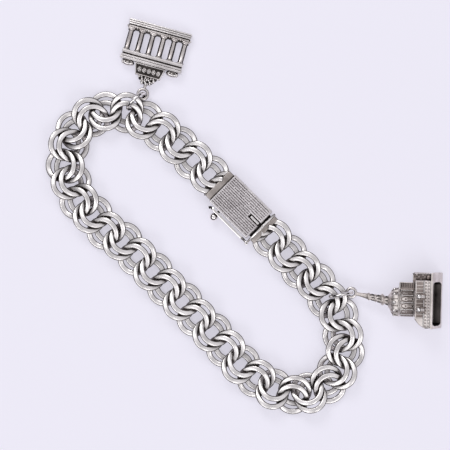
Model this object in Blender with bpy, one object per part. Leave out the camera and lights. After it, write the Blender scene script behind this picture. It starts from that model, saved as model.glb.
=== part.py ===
"""A silver charm bracelet lying flat: double-ring chain, box clasp with a safety catch, two charms."""

import math

import bpy
import numpy as np
from mathutils import Matrix, Vector

MM = 0.001
# How far soldered pieces reach into each other, and how far cutters reach past a wall
JOIN = 0.1
CUT_PAST = 1.0

# Chain: two soldered rings make one S-shaped link, two such links cross in every unit.
RING_HALF_LONG = 3.22
RING_HALF_WIDE = 3.02
WIRE = 0.90
RING_LEAN = 1.42
RING_STEP = 0.28
NEAR_RING_AT = (2.24, -1.05)
FAR_RING_AT = (2.40, 0.80)
RING_STEPS = 12
WIRE_SIDES = 5
SOLDER_LONG = 0.95
SOLDER_WIDE = 0.62

# Centres of the chain units where they lie, from one clasp end round to the other.
CHAIN_ROUTE = [
    (-9.5, 11.7),
    (-18.9, 11.0),
    (-28.1, 9.6),
    (-35.8, 5.6),
    (-38.8, -1.6),
    (-35.9, -8.8),
    (-28.8, -12.8),
    (-20.2, -13.4),
    (-11.4, -12.3),
    (-2.0, -11.9),
    (7.3, -11.5),
    (16.7, -11.2),
    (26.1, -10.9),
    (34.6, -8.2),
    (39.2, -2.0),
    (38.1, 5.7),
    (32.1, 11.0),
    (23.7, 12.9),
    (14.9, 12.7),
    (5.5, 12.5),
]
CHAIN_Z = RING_LEAN + RING_STEP / 2 + WIRE / 2

# Clasp
BOX_LONG = 11.5
BOX_WIDE = 8.25
BOX_HIGH = 3.6
BOX_WALL = 0.45
SLOT_LONG = 3.15
SLOT_WIDE = 1.05
BOX_PLATE_TO_UNIT = 0.16
TONGUE_PLATE_TO_UNIT = -0.34
PLATE_GRIP = 0.52
PLATE_HIGH = 2.9
PLATE_SHORT_OF_RING = 0.295
TONGUE_GAP = 0.5
TONGUE_BAR = 0.55
TONGUE_SIDE_GAP = 0.475
TONGUE_LEAF = 0.45
TONGUE_RISE_LONG = 2.3
TONGUE_LIP = 0.4
THUMB_WIDE = 0.55
THUMB_PROUD = 0.35
THUMB_INSET = 0.25
FIT = 0.12
TUBE_RADIUS = 0.42
PIN_RADIUS = 0.17
TUBE_OUT = 0.72
KNUCKLE_SHARE = 0.28
KNUCKLE_GAP = 0.08
ARM_WIDE = 0.4
PIN_CLEARANCE = 0.08
BALL_RADIUS = 0.8
BALL_AT = -2.6
BALL_OUT = 1.75
POST_RADIUS = 0.3
CATCH_THICK = 0.32
CATCH_HIGH = 2.5
CATCH_TIP_AT = -4.6
CATCH_CORNER = 0.6
CATCH_NECK = 1.2
CATCH_NECK_END = 0.35
CATCH_EYE_RADIUS = 0.92
CATCH_OUT = 0.62
CATCH_EYE_SIDES = 12

# Jump rings: centre where it lies, heading of its plane, lean of its plane
JUMP_RING_RADIUS = 2.42
JUMP_WIRE_RADIUS = 0.36
GATE_RING_AT = (-34.56, 10.44, 2.77)
GATE_RING_TURN = (90.6, -10.3)
CATHEDRAL_RING_AT = (27.11, 15.47, 2.82)
CATHEDRAL_RING_TURN = (58.7, -2.7)
EYE_WIRE_RADIUS = 0.34

# Gate charm: lengths run along it from the middle of its eye
GATE_EYE_AT = (-34.80, 12.61, 1.715)
GATE_HEADING = 122.8
GATE_LONG = 15.45
GATE_WIDE = 14.2
GATE_THICK = 2.4
GATE_EYE_RADIUS = 1.12
GATE_BASE_DEEP = 1.25
GATE_FRIEZE_DEEP = 1.0
COLUMN_COUNT = 6
COLUMN_PITCH = 2.44
COLUMN_RADIUS = 0.56
COLUMN_LONG = 4.65
CAPITAL_DEEP = 0.5
CAPITAL_WIDE = 1.35
CAPITAL_THICK = 1.5
SHAFT_GAP = 0.02
BAND_DEEP = 1.0
BAND_GROOVE = 0.2
GROOVE_CUT = 0.2
BAND_STEP = 0.1
ENTABLATURE_WIDE = 13.8
ENTABLATURE_THICK = 2.2
WING_DEEP = 1.1
WING_WIDE = 2.9
WING_THICK = 1.5
WING_INSET = 0.4
ATTIC_DEEP = 2.5
ATTIC_WIDE = 6.9
ATTIC_END_WIDE = 5.6
ATTIC_THICK = 1.8
SCULPTURE_DEEP = 1.7
SCULPTURE_WIDE = 5.0
SCULPTURE_THICK = 1.5
STEM_WIDE = 1.1

# Cathedral charm: lengths run along it from the middle of its eye
CATHEDRAL_EYE_AT = (28.33, 17.48, 2.30)
CATHEDRAL_HEADING = 46.5
CATHEDRAL_RISE = 6.0
CATHEDRAL_LONG = 19.9
CATHEDRAL_EYE_RADIUS = 1.0
TOWER_ASIDE = -1.74
TOWER_RADIUS = 3.1
TOWER_FLATTEN = 0.84
TOWER_FROM = 1.1
TOWER_INTO_NAVE = 0.6
TOWER_LEAN_SHARE = 0.62
TOWER_SIDES = 12
# Turned outline of spire, dome and drum: share of the tower's length, share of its radius
TOWER_PROFILE = [
    (0.0, 0.13),
    (0.2, 0.19),
    (0.215, 0.29),
    (0.42, 0.33),
    (0.44, 0.45),
    (0.52, 0.5),
    (0.56, 0.78),
    (0.63, 0.98),
    (0.71, 1.0),
    (1.0, 0.97),
]
NAVE_LONG = 5.9
NAVE_LOW_SIDE = -7.35
NAVE_HIGH_SIDE = 3.2
NAVE_SHOULDER = 2.0
NAVE_TOP = 3.4
NAVE_BOTTOM = -3.5
NAVE_STEP_BACK = 0.2
AISLE_TO_SIDE = 4.9
AISLE_BEFORE_NAVE = 0.6
AISLE_TOP = 1.6
AISLE_BOTTOM = -3.2
AISLE_INTO_NAVE = 0.5
PORCH_LONG = 3.5
PORCH_WIDE = 2.2
PORCH_TO_SIDE = 2.6
PORCH_TOP = 1.3
PORCH_BOTTOM = -2.3
PLINTH_DEEP = 1.7
PLINTH_TOP = 3.7
PLINTH_BOTTOM = -4.1
PLINTH_SLANT = 1.5
HOLLOW_DEEP = 4.2
HOLLOW_WALL = 0.42
HOLLOW_SIDE_WALL = 0.3
DORMER_RADIUS = 0.72
DORMER_DEEP = 1.5
DORMER_RISE = 0.45
DORMERS_AT = (-0.3, -3.2)
DORMER_BACK = 0.85


def unit_poses():
    """Centre and heading of every chain unit; a heading is the mean of the two runs that meet there."""
    points = np.array(CHAIN_ROUTE)
    runs = np.diff(points, axis=0)
    along = np.unwrap(np.arctan2(runs[:, 1], runs[:, 0]))
    along += 2 * math.pi * (along[0] < 0)
    across = points[-1] - points[0]
    lie = math.atan2(across[1], across[0])
    heads = np.concatenate([[math.pi + lie], (along[:-1] + along[1:]) / 2, [3 * math.pi + lie]])
    return [(x, y, head) for (x, y), head in zip(points, heads)]


def placed(x, y, z, turn):
    return Matrix.Translation((x * MM, y * MM, z * MM)) @ Matrix.Rotation(turn, 4, "Z")


def clear_scene():
    for obj in list(bpy.data.objects):
        bpy.data.objects.remove(obj, do_unlink=True)


def mesh_of(name, points, faces):
    mesh = bpy.data.meshes.new(name)
    mesh.from_pydata([Vector(p) * MM for p in points], [], faces)
    mesh.update()
    return mesh


def object_of(name, mesh, matrix=None):
    obj = bpy.data.objects.new(name, mesh)
    bpy.context.scene.collection.objects.link(obj)
    if matrix is not None:
        obj.matrix_world = matrix
    return obj


def block(low, high):
    """Points and faces of a box between two corners."""
    (x0, y0, z0), (x1, y1, z1) = low, high
    points = [(x, y, z) for x in (x0, x1) for y in (y0, y1) for z in (z0, z1)]
    faces = [(0, 1, 3, 2), (4, 6, 7, 5), (0, 4, 5, 1), (2, 3, 7, 6), (0, 2, 6, 4), (1, 5, 7, 3)]
    return points, faces


def prism(outline, z0, z1):
    """An outline in XY raised from z0 to z1."""
    n = len(outline)
    points = [(x, y, z0) for x, y in outline] + [(x, y, z1) for x, y in outline]
    faces = [tuple(range(n - 1, -1, -1)), tuple(range(n, 2 * n))]
    faces += [(i, (i + 1) % n, n + (i + 1) % n, n + i) for i in range(n)]
    return points, faces


def turned(part, matrix):
    points, faces = part
    return [tuple(matrix @ Vector(p)) for p in points], faces


def circle(radius, sides, start=0.0, at=(0.0, 0.0)):
    steps = [start + 2 * math.pi * i / sides for i in range(sides)]
    return [(at[0] + radius * math.cos(a), at[1] + radius * math.sin(a)) for a in steps]


def loft(rows, closed_end=True):
    """Skin over rows of equal length; closed rows, flat caps at both ends."""
    n = len(rows[0])
    points = [p for row in rows for p in row]
    faces = []
    for r in range(len(rows) - 1):
        for i in range(n):
            j = (i + 1) % n
            faces.append((r * n + i, r * n + j, (r + 1) * n + j, (r + 1) * n + i))
    if closed_end:
        faces.append(tuple(range(n - 1, -1, -1)))
        faces.append(tuple(range((len(rows) - 1) * n, len(rows) * n)))
    return points, faces


def wire_loop(centre, frame, section):
    """A closed wire: centre(t) gives the point and frame(t) the outward and upward directions."""
    rows = []
    for i in range(RING_STEPS):
        t = 2 * math.pi * (i + 0.5) / RING_STEPS
        c, (out, up) = centre(t), frame(t)
        rows.append([tuple(c + out * a + up * b) for a, b in section])
    points = [p for row in rows for p in row]
    n = len(section)
    faces = []
    for r in range(RING_STEPS):
        q = (r + 1) % RING_STEPS
        for i in range(n):
            j = (i + 1) % n
            faces.append((r * n + i, r * n + j, q * n + j, q * n + i))
    return points, faces


def wire_section(wide, high, sides):
    """Flat-topped wire section, wide by high."""
    ring = circle(1.0, sides, math.pi / 2 - math.pi / sides)
    xs = [x for x, _ in ring]
    ys = [y for _, y in ring]
    sx, sy = wide / (max(xs) - min(xs)), high / (max(ys) - min(ys))
    drop = (max(ys) + min(ys)) / 2
    return [(x * sx, (y - drop) * sy) for x, y in ring]


def leaning_ring(near, side):
    """One chain ring; side +1 rises toward +Y and sits at +X, side -1 is its half-turn copy."""
    at = NEAR_RING_AT if near else FAR_RING_AT
    level = RING_STEP / 2 if near else -RING_STEP / 2

    def centre(t):
        x, y = RING_HALF_LONG * math.cos(t), RING_HALF_WIDE * math.sin(t)
        return Vector((at[0] + x, at[1] + y, level + RING_LEAN * math.sin(t)))

    def frame(t):
        out = Vector((math.cos(t) / RING_HALF_LONG, math.sin(t) / RING_HALF_WIDE, 0)).normalized()
        return out, Vector((0, 0, 1))

    part = wire_loop(centre, frame, wire_section(WIRE, WIRE, WIRE_SIDES))
    return part if side > 0 else turned(part, Matrix.Rotation(math.pi, 4, "Z"))


def crossing_top():
    """Where the far ring at +X and the near ring at -X cross on the +Y side: x, y and both heights."""
    far = Vector((FAR_RING_AT[0], FAR_RING_AT[1]))
    near = -Vector((NEAR_RING_AT[0], NEAR_RING_AT[1]))
    lo, hi = -RING_HALF_LONG, RING_HALF_LONG

    def height(c, x):
        share = (x - c.x) / RING_HALF_LONG
        return c.y + RING_HALF_WIDE * math.sqrt(max(0.0, 1 - share * share))

    for _ in range(40):
        mid = (lo + hi) / 2
        if height(near, mid) > height(far, mid):
            lo = mid
        else:
            hi = mid
    x, y = lo, height(far, lo)
    z_far = -RING_STEP / 2 + RING_LEAN * (y - far.y) / RING_HALF_WIDE
    z_near = RING_STEP / 2 - RING_LEAN * (y - near.y) / RING_HALF_WIDE
    return x, y, z_far, z_near


def solder_web():
    x, y, z_far, z_near = crossing_top()
    low = (x - SOLDER_LONG / 2, y - SOLDER_WIDE / 2, z_near)
    high = (x + SOLDER_LONG / 2, y + SOLDER_WIDE / 2, z_far)
    return block(low, high)


def joined(name, parts, cutters=(), keep=()):
    """One mesh: the union of the parts, within every keep body, less the cutters."""
    base = object_of(name, mesh_of(name, *parts[0]))
    steps = [("UNION", p) for p in parts[1:]]
    steps += [("INTERSECT", p) for p in keep]
    steps += [("DIFFERENCE", p) for p in cutters]
    tools = []
    for i, (kind, part) in enumerate(steps):
        tool = object_of(f"{name}_tool_{i}", mesh_of(f"{name}_tool_{i}", *part))
        mod = base.modifiers.new(f"join_{i}", "BOOLEAN")
        mod.operation = kind
        mod.solver = "EXACT"
        mod.object = tool
        tools.append(tool)
    graph = bpy.context.evaluated_depsgraph_get()
    mesh = bpy.data.meshes.new_from_object(base.evaluated_get(graph))
    mesh.name = name
    for obj in [base, *tools]:
        bpy.data.objects.remove(obj, do_unlink=True)
    return mesh


def silver(name, colour, roughness):
    mat = bpy.data.materials.new(name)
    mat.use_nodes = True
    shader = mat.node_tree.nodes["Principled BSDF"]
    shader.inputs["Base Color"].default_value = (*colour, 1)
    shader.inputs["Metallic"].default_value = 1.0
    shader.inputs["Roughness"].default_value = roughness
    return mat


def dressed(obj, mat, smooth=False):
    obj.data.materials.clear()
    obj.data.materials.append(mat)
    for face in obj.data.polygons:
        face.use_smooth = smooth
    return obj


def link_mesh():
    return joined("link", [leaning_ring(True, -1), leaning_ring(False, 1), solder_web()])


def chain(mat):
    mesh = link_mesh()
    count = 0
    for x, y, head in unit_poses()[1:-1]:
        for half_turn in (0.0, math.pi):
            count += 1
            obj = object_of(f"link_{count:02d}", mesh, placed(x, y, CHAIN_Z, head + half_turn))
            dressed(obj, mat, smooth=True)


def clasp_pose():
    """Middle of the clasp, its turn, and how far each end unit stands from it."""
    (x0, y0), (x1, y1) = CHAIN_ROUTE[0], CHAIN_ROUTE[-1]
    turn = math.atan2(y1 - y0, x1 - x0)
    return (x0 + x1) / 2, (y0 + y1) / 2, turn, math.hypot(x1 - x0, y1 - y0) / 2


def end_rings(reach, start):
    """Ring arcs of the half unit at the tongue end, cut off at start inside the end plate."""
    shift = Matrix.Translation((reach, 0, CHAIN_Z))
    far = 4 * RING_HALF_LONG
    beyond = block((start, -far, -far), (start + 2 * far, far, far))
    rings = [leaning_ring(near, side) for near in (True, False) for side in (1, -1)]
    return [as_part(joined("arc", [turned(ring, shift)], keep=[beyond])) for ring in rings]


def end_plate(x0, x1):
    half = RING_HALF_WIDE - NEAR_RING_AT[1] - PLATE_SHORT_OF_RING
    z0 = CHAIN_Z - PLATE_HIGH / 2
    return block((x0, -half, z0), (x1, half, z0 + PLATE_HIGH))


def mirrored_end(part):
    return turned(part, Matrix.Rotation(math.pi, 4, "Z"))


def lathe(profile, sides, axis="Z"):
    """Turned body: profile of (radius, height) from one pole or cap to the other."""
    rows = [[(x, y, h) for x, y in circle(max(r, 0.001), sides)] for r, h in profile]
    part = loft(rows)
    if axis == "Y":
        part = turned(part, Matrix.Rotation(math.pi / 2, 4, "X"))
    if axis == "X":
        part = turned(part, Matrix.Rotation(math.pi / 2, 4, "Y"))
    return part


def ball_profile(radius, steps):
    angles = [math.pi * (i / steps - 0.5) for i in range(steps + 1)]
    return [(radius * math.cos(a), radius * math.sin(a)) for a in angles]


def box_body(plate_end):
    half_l, half_w = BOX_LONG / 2, BOX_WIDE / 2
    plate = end_plate(half_l - BOX_WALL, plate_end)
    shell = block((-half_l, -half_w, 0), (half_l, half_w, BOX_HIGH))
    ball = turned(
        lathe(ball_profile(BALL_RADIUS, 6), 10, "Y"),
        Matrix.Translation((BALL_AT, -half_w - BALL_OUT, CHAIN_Z)),
    )
    post = turned(
        lathe([(POST_RADIUS, 0), (POST_RADIUS, BALL_OUT + BOX_WALL)], 8, "Y"),
        Matrix.Translation((BALL_AT, -half_w + BOX_WALL / 2, CHAIN_Z)),
    )
    hollow = block(
        (-half_l + BOX_WALL, -half_w + BOX_WALL, BOX_WALL),
        (half_l + CUT_PAST, half_w - BOX_WALL, BOX_HIGH - BOX_WALL),
    )
    slot = block(
        (half_l - SLOT_LONG, -SLOT_WIDE / 2, BOX_HIGH - CUT_PAST),
        (half_l + CUT_PAST, SLOT_WIDE / 2, BOX_HIGH + CUT_PAST),
    )
    return shell, mirrored_end(plate), ball, post, hollow, slot


def clasp_box(mat):
    x, y, turn, reach = clasp_pose()
    plate_end = reach - BOX_PLATE_TO_UNIT
    shell, plate, ball, post, hollow, slot = box_body(plate_end)
    arcs = [mirrored_end(arc) for arc in end_rings(reach, plate_end - PLATE_GRIP)]
    body = joined("clasp_box", [shell, plate, post, ball] + arcs, cutters=[hollow, slot])
    dressed(object_of("clasp_box", body, placed(x, y, 0, turn)), mat)


def as_part(mesh):
    points = [tuple(v.co / MM) for v in mesh.vertices]
    faces = [tuple(p.vertices) for p in mesh.polygons]
    return points, faces


def spring_leaf(bar_x):
    """Folded spring that slides into the box: low leaf, fold at the tip, upper leaf rising to the lip."""
    floor = BOX_WALL + FIT
    ceiling = BOX_HIGH - BOX_WALL - FIT
    tip_x = -BOX_LONG / 2 + BOX_WALL + TONGUE_RISE_LONG
    lip_x = BOX_LONG / 2 - TONGUE_LIP
    wide = BOX_WIDE / 2 - BOX_WALL - TONGUE_SIDE_GAP
    side = [
        (bar_x + JOIN, floor),
        (bar_x + JOIN, floor + TONGUE_LEAF),
        (tip_x + 2 * TONGUE_LEAF, floor + TONGUE_LEAF),
        (lip_x - TONGUE_RISE_LONG / 2, ceiling - TONGUE_LEAF),
        (lip_x, ceiling - TONGUE_LEAF),
        (lip_x, ceiling),
        (lip_x - TONGUE_RISE_LONG / 2 - TONGUE_LEAF / 2, ceiling),
        (tip_x, floor + TONGUE_LEAF),
        (tip_x, floor),
    ]
    return turned(prism(side, -wide, wide), Matrix.Rotation(math.pi / 2, 4, "X")), ceiling


def thumb_bar(ceiling):
    """Bar on the upper leaf that stands in the box's slot, to be pressed."""
    low_x = BOX_LONG / 2 - SLOT_LONG + (SLOT_WIDE - THUMB_WIDE)
    low = (low_x, -THUMB_WIDE / 2, ceiling - TONGUE_LEAF / 2)
    return block(low, (BOX_LONG / 2 - THUMB_INSET, THUMB_WIDE / 2, BOX_HIGH + THUMB_PROUD))


def hinge_heights():
    z0, z1 = CHAIN_Z - CATCH_HIGH / 2, CHAIN_Z + CATCH_HIGH / 2
    return z0, z1, (z1 - z0) * KNUCKLE_SHARE


def hinge_parts(tube_x, tube_y):
    """Pin, two knuckles and the arms that carry them on the end bar."""
    z0, z1, knuckle = hinge_heights()
    at = Matrix.Translation((tube_x, tube_y, 0))
    parts = [turned(lathe([(PIN_RADIUS, z0 + FIT), (PIN_RADIUS, z1 - FIT)], 8), at)]
    for a, b in ((z0, z0 + knuckle), (z1 - knuckle, z1)):
        parts.append(turned(lathe([(TUBE_RADIUS, a), (TUBE_RADIUS, b)], 10), at))
        low = (tube_x - ARM_WIDE / 2, tube_y, a)
        parts.append(block(low, (tube_x + ARM_WIDE / 2, -BOX_WIDE / 2 + ARM_WIDE / 2, b)))
    return parts


def clasp_tongue(mat):
    x, y, turn, reach = clasp_pose()
    bar_x = BOX_LONG / 2 + TONGUE_GAP
    back_x = bar_x + TONGUE_BAR
    plate_end = reach - TONGUE_PLATE_TO_UNIT
    bar = block((bar_x, -BOX_WIDE / 2, 0), (back_x, BOX_WIDE / 2, BOX_HIGH))
    plate = end_plate(back_x - TONGUE_BAR / 4, plate_end)
    spring, ceiling = spring_leaf(bar_x)
    tube_x = bar_x + TONGUE_BAR / 2
    tube_y = -BOX_WIDE / 2 - TUBE_OUT
    parts = [bar, plate, spring, thumb_bar(ceiling)] + hinge_parts(tube_x, tube_y)
    parts += end_rings(reach, plate_end - PLATE_GRIP)
    body = joined("clasp_tongue", parts)
    dressed(object_of("clasp_tongue", body, placed(x, y, 0, turn)), mat)
    return tube_x, tube_y


def safety_catch(mat, tube_x, tube_y):
    """Sprung strip with a round eye that snaps over the ball; its origin is on the hinge axis."""
    x, y, turn, _ = clasp_pose()
    half_w = BOX_WIDE / 2
    z0, z1, knuckle = hinge_heights()
    mid0, mid1 = z0 + knuckle + KNUCKLE_GAP, z1 - knuckle - KNUCKLE_GAP
    strip_y = -half_w - CATCH_OUT - tube_y
    tip = CATCH_TIP_AT - tube_x
    eye = BALL_AT - tube_x
    outline = [
        (-TUBE_RADIUS - CATCH_NECK_END, mid0),
        (-TUBE_RADIUS - CATCH_NECK, z0),
        (tip + CATCH_CORNER, z0),
        (tip, CHAIN_Z - CATCH_HIGH * 0.25),
        (tip, CHAIN_Z + CATCH_HIGH * 0.25),
        (tip + CATCH_CORNER, z1),
        (-TUBE_RADIUS - CATCH_NECK, z1),
        (-TUBE_RADIUS - CATCH_NECK_END, mid1),
        (0.0, mid1),
        (0.0, mid0),
    ]
    y0, y1 = strip_y - CATCH_THICK / 2, strip_y + CATCH_THICK / 2
    strip = turned(prism(outline, -y1, -y0), Matrix.Rotation(math.pi / 2, 4, "X"))
    barrel = lathe([(TUBE_RADIUS, mid0), (TUBE_RADIUS, mid1)], 10)
    bore_radius = PIN_RADIUS + PIN_CLEARANCE
    bore = lathe([(bore_radius, 0), (bore_radius, 2 * CHAIN_Z)], 10)
    window = turned(
        lathe([(CATCH_EYE_RADIUS, -CATCH_HIGH), (CATCH_EYE_RADIUS, CATCH_HIGH)], CATCH_EYE_SIDES, "Y"),
        Matrix.Translation((eye, strip_y, CHAIN_Z)),
    )
    body = joined("safety_catch", [strip, barrel], cutters=[bore, window])
    at = placed(x, y, 0, turn) @ Matrix.Translation((tube_x * MM, tube_y * MM, 0))
    dressed(object_of("safety_catch", body, at), mat)


def round_ring(radius, wire_radius, steps, sides):
    """A flat round ring of round wire in XY."""
    rows = []
    for i in range(steps):
        t = 2 * math.pi * (i + 0.5) / steps
        out = Vector((math.cos(t), math.sin(t), 0))
        section = circle(wire_radius, sides)
        rows.append([tuple(out * (radius + a) + Vector((0, 0, b))) for a, b in section])
    points = [p for row in rows for p in row]
    faces = []
    for r in range(steps):
        q = (r + 1) % steps
        for i in range(sides):
            j = (i + 1) % sides
            faces.append((r * sides + i, q * sides + i, q * sides + j, r * sides + j))
    return points, faces


def jump_ring(name, mat, at, turn):
    heading, lean = (math.radians(a) for a in turn)
    ring = turned(
        round_ring(JUMP_RING_RADIUS, JUMP_WIRE_RADIUS, 14, 6),
        Matrix.Rotation(heading, 4, "Z") @ Matrix.Rotation(math.pi / 2 + lean, 4, "X"),
    )
    place = Matrix.Translation(Vector(at) * MM)
    dressed(object_of(name, mesh_of(name, *ring), place), mat, smooth=True)


def gate_charm(mat):
    """City gate lying flat: plinth, six columns with five open passages, entablature, attic, eye."""
    half = GATE_THICK / 2
    parts = []
    x = GATE_LONG
    parts.append(block((x - GATE_BASE_DEEP, -GATE_WIDE / 2, -half), (x, GATE_WIDE / 2, half)))
    x -= GATE_BASE_DEEP
    row = (COLUMN_COUNT - 1) * COLUMN_PITCH + CAPITAL_WIDE
    frieze = CAPITAL_THICK / 2 + JOIN
    parts.append(block((x - GATE_FRIEZE_DEEP, -row / 2, -frieze), (x + JOIN, row / 2, frieze)))
    x -= GATE_FRIEZE_DEEP
    for i in range(COLUMN_COUNT):
        y = (i - (COLUMN_COUNT - 1) / 2) * COLUMN_PITCH
        shaft = lathe([(COLUMN_RADIUS, x - COLUMN_LONG - JOIN), (COLUMN_RADIUS, x + JOIN)], 8, "X")
        parts.append(turned(shaft, Matrix.Translation((0, y, 0))))
        half_wide = CAPITAL_WIDE / 2 - SHAFT_GAP
        low = (x - CAPITAL_DEEP, y - half_wide, -CAPITAL_THICK / 2)
        parts.append(block(low, (x + JOIN, y + half_wide, CAPITAL_THICK / 2)))
    x -= COLUMN_LONG
    wide = ENTABLATURE_WIDE / 2
    thick = ENTABLATURE_THICK / 2
    parts.append(block((x - BAND_DEEP, -wide, -thick), (x, wide, thick)))
    x -= BAND_DEEP
    low = (x - BAND_GROOVE - JOIN, -wide + GROOVE_CUT, -thick + GROOVE_CUT)
    parts.append(block(low, (x + JOIN, wide - GROOVE_CUT, thick - GROOVE_CUT)))
    x -= BAND_GROOVE
    low = (x - BAND_DEEP, -wide - BAND_STEP, -thick - BAND_STEP / 2)
    parts.append(block(low, (x, wide + BAND_STEP, thick + BAND_STEP / 2)))
    x -= BAND_DEEP
    for side in (-1, 1):
        near = side * (wide - WING_INSET)
        far = near - side * WING_WIDE
        low = (x - WING_DEEP, min(near, far), -WING_THICK / 2)
        parts.append(block(low, (x + JOIN, max(near, far), WING_THICK / 2)))
    attic = [
        (x + 1.2 * JOIN, -ATTIC_WIDE / 2),
        (x + 1.2 * JOIN, ATTIC_WIDE / 2),
        (x - ATTIC_DEEP, ATTIC_END_WIDE / 2),
        (x - ATTIC_DEEP, -ATTIC_END_WIDE / 2),
    ]
    parts.append(prism(attic[::-1], -ATTIC_THICK / 2, ATTIC_THICK / 2))
    x -= ATTIC_DEEP
    wide = SCULPTURE_WIDE / 2
    crest = [
        (x + 1.3 * JOIN, -wide),
        (x + 1.3 * JOIN, wide),
        (x - SCULPTURE_DEEP * 0.55, wide * 0.9),
        (x - SCULPTURE_DEEP, wide * 0.35),
        (x - SCULPTURE_DEEP, -wide * 0.35),
        (x - SCULPTURE_DEEP * 0.55, -wide * 0.9),
    ]
    parts.append(prism(crest[::-1], -SCULPTURE_THICK / 2, SCULPTURE_THICK / 2))
    x -= SCULPTURE_DEEP
    stem_from = GATE_EYE_RADIUS + JOIN / 2
    low = (stem_from, -STEM_WIDE / 2, -EYE_WIRE_RADIUS * 0.9)
    parts.append(block(low, (x + 3 * JOIN, STEM_WIDE / 2, EYE_WIRE_RADIUS * 0.9)))
    parts.append(round_ring(GATE_EYE_RADIUS, EYE_WIRE_RADIUS, 12, 6))
    body = joined("gate_charm", parts)
    dip = math.asin((GATE_EYE_AT[2] - half) / GATE_LONG)
    place = placed(*GATE_EYE_AT, math.radians(GATE_HEADING)) @ Matrix.Rotation(dip, 4, "Y")
    dressed(object_of("gate_charm", body, place), mat)


def tower():
    """Spire, dome and drum: the spire leans from the drum's middle to the eye."""
    rows = []
    tower_to = CATHEDRAL_LONG - NAVE_LONG + TOWER_INTO_NAVE
    for at, share in TOWER_PROFILE:
        x = TOWER_FROM + at * (tower_to - TOWER_FROM)
        aside = TOWER_ASIDE * min(1.0, x / (tower_to * TOWER_LEAN_SHARE))
        ring = circle(TOWER_RADIUS * share, TOWER_SIDES, math.pi / TOWER_SIDES)
        rows.append([(x, aside + a, b * TOWER_FLATTEN) for a, b in ring])
    return loft(rows)


def slanted_plinth():
    """Base band whose lower edge reaches further than its upper edge."""
    x1 = CATHEDRAL_LONG
    outline = [
        (x1 - PLINTH_SLANT, PLINTH_TOP),
        (x1 - PLINTH_SLANT - PLINTH_DEEP, PLINTH_TOP),
        (x1 - PLINTH_DEEP, PLINTH_BOTTOM),
        (x1, PLINTH_BOTTOM),
    ]
    flat = prism(outline, -AISLE_TO_SIDE, -NAVE_LOW_SIDE)
    return turned(flat, Matrix.Rotation(math.pi / 2, 4, "X"))


def dormer(side):
    x = CATHEDRAL_LONG - NAVE_LONG + DORMER_BACK
    half_round = circle(DORMER_RADIUS, 10, 0.0, (x, side))
    return prism(half_round, NAVE_TOP - DORMER_DEEP, NAVE_TOP + DORMER_RISE)


def cathedral_charm(mat):
    """Cathedral on its back: leaning spire, dome and drum, nave with two round dormers, hollow base."""
    x0 = CATHEDRAL_LONG - NAVE_LONG
    x1 = CATHEDRAL_LONG - PLINTH_SLANT
    nave = [
        (x0, NAVE_LOW_SIDE + NAVE_SHOULDER),
        (x0 + NAVE_SHOULDER, NAVE_LOW_SIDE + NAVE_STEP_BACK),
        (x1 - PLINTH_DEEP / 2, NAVE_LOW_SIDE + NAVE_STEP_BACK),
        (x1 - PLINTH_DEEP / 2, NAVE_HIGH_SIDE),
        (x0, NAVE_HIGH_SIDE),
    ]
    aisle = block(
        (x0 - AISLE_BEFORE_NAVE, NAVE_HIGH_SIDE - AISLE_INTO_NAVE, AISLE_BOTTOM),
        (x1 - PLINTH_DEEP / 2, AISLE_TO_SIDE - NAVE_STEP_BACK, AISLE_TOP),
    )
    porch = block(
        (x0 - PORCH_LONG, PORCH_TO_SIDE - PORCH_WIDE, PORCH_BOTTOM),
        (x0 + 3 * JOIN, PORCH_TO_SIDE, PORCH_TOP),
    )
    eye = round_ring(CATHEDRAL_EYE_RADIUS, EYE_WIRE_RADIUS, 12, 6)
    parts = [prism(nave, NAVE_BOTTOM, NAVE_TOP), slanted_plinth(), aisle, porch, tower(), eye]
    parts += [dormer(side) for side in DORMERS_AT]
    hollow_from = CATHEDRAL_LONG - PLINTH_SLANT - HOLLOW_DEEP
    hollow = block(
        (hollow_from, NAVE_LOW_SIDE + HOLLOW_WALL, NAVE_BOTTOM + HOLLOW_WALL),
        (CATHEDRAL_LONG + CUT_PAST, NAVE_HIGH_SIDE - HOLLOW_SIDE_WALL, NAVE_TOP - HOLLOW_WALL),
    )
    body = joined("cathedral_charm", parts, cutters=[hollow])
    rise = Matrix.Rotation(-math.radians(CATHEDRAL_RISE), 4, "Y")
    place = placed(*CATHEDRAL_EYE_AT, math.radians(CATHEDRAL_HEADING)) @ rise
    dressed(object_of("cathedral_charm", body, place), mat)


def centre_on_origin():
    """Moves the whole to stand on z = 0 with its bounding box centred over the origin."""
    bpy.context.view_layer.update()
    objs = list(bpy.context.scene.objects)
    points = np.array([tuple(obj.matrix_world @ v.co) for obj in objs for v in obj.data.vertices])
    low, high = points.min(axis=0), points.max(axis=0)
    shift = Vector((-(low[0] + high[0]) / 2, -(low[1] + high[1]) / 2, -low[2]))
    for obj in objs:
        obj.location = obj.location + shift


def main():
    clear_scene()
    satin = silver("satin_silver", (0.80, 0.79, 0.78), 0.32)
    bright = silver("bright_silver", (0.82, 0.81, 0.80), 0.2)
    cast = silver("cast_silver", (0.70, 0.67, 0.65), 0.42)
    chain(satin)
    clasp_box(satin)
    hinge = clasp_tongue(satin)
    safety_catch(bright, *hinge)
    jump_ring("gate_jump_ring", bright, GATE_RING_AT, GATE_RING_TURN)
    jump_ring("cathedral_jump_ring", bright, CATHEDRAL_RING_AT, CATHEDRAL_RING_TURN)
    gate_charm(cast)
    cathedral_charm(cast)
    centre_on_origin()


main()
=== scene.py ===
"""Looks for the silver charm bracelet: fine link wire, engraved clasp, cast charms, silver materials."""

import math
from math import cos, pi, sin

import bmesh
import bpy
from mathutils import Matrix, Vector

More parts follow.
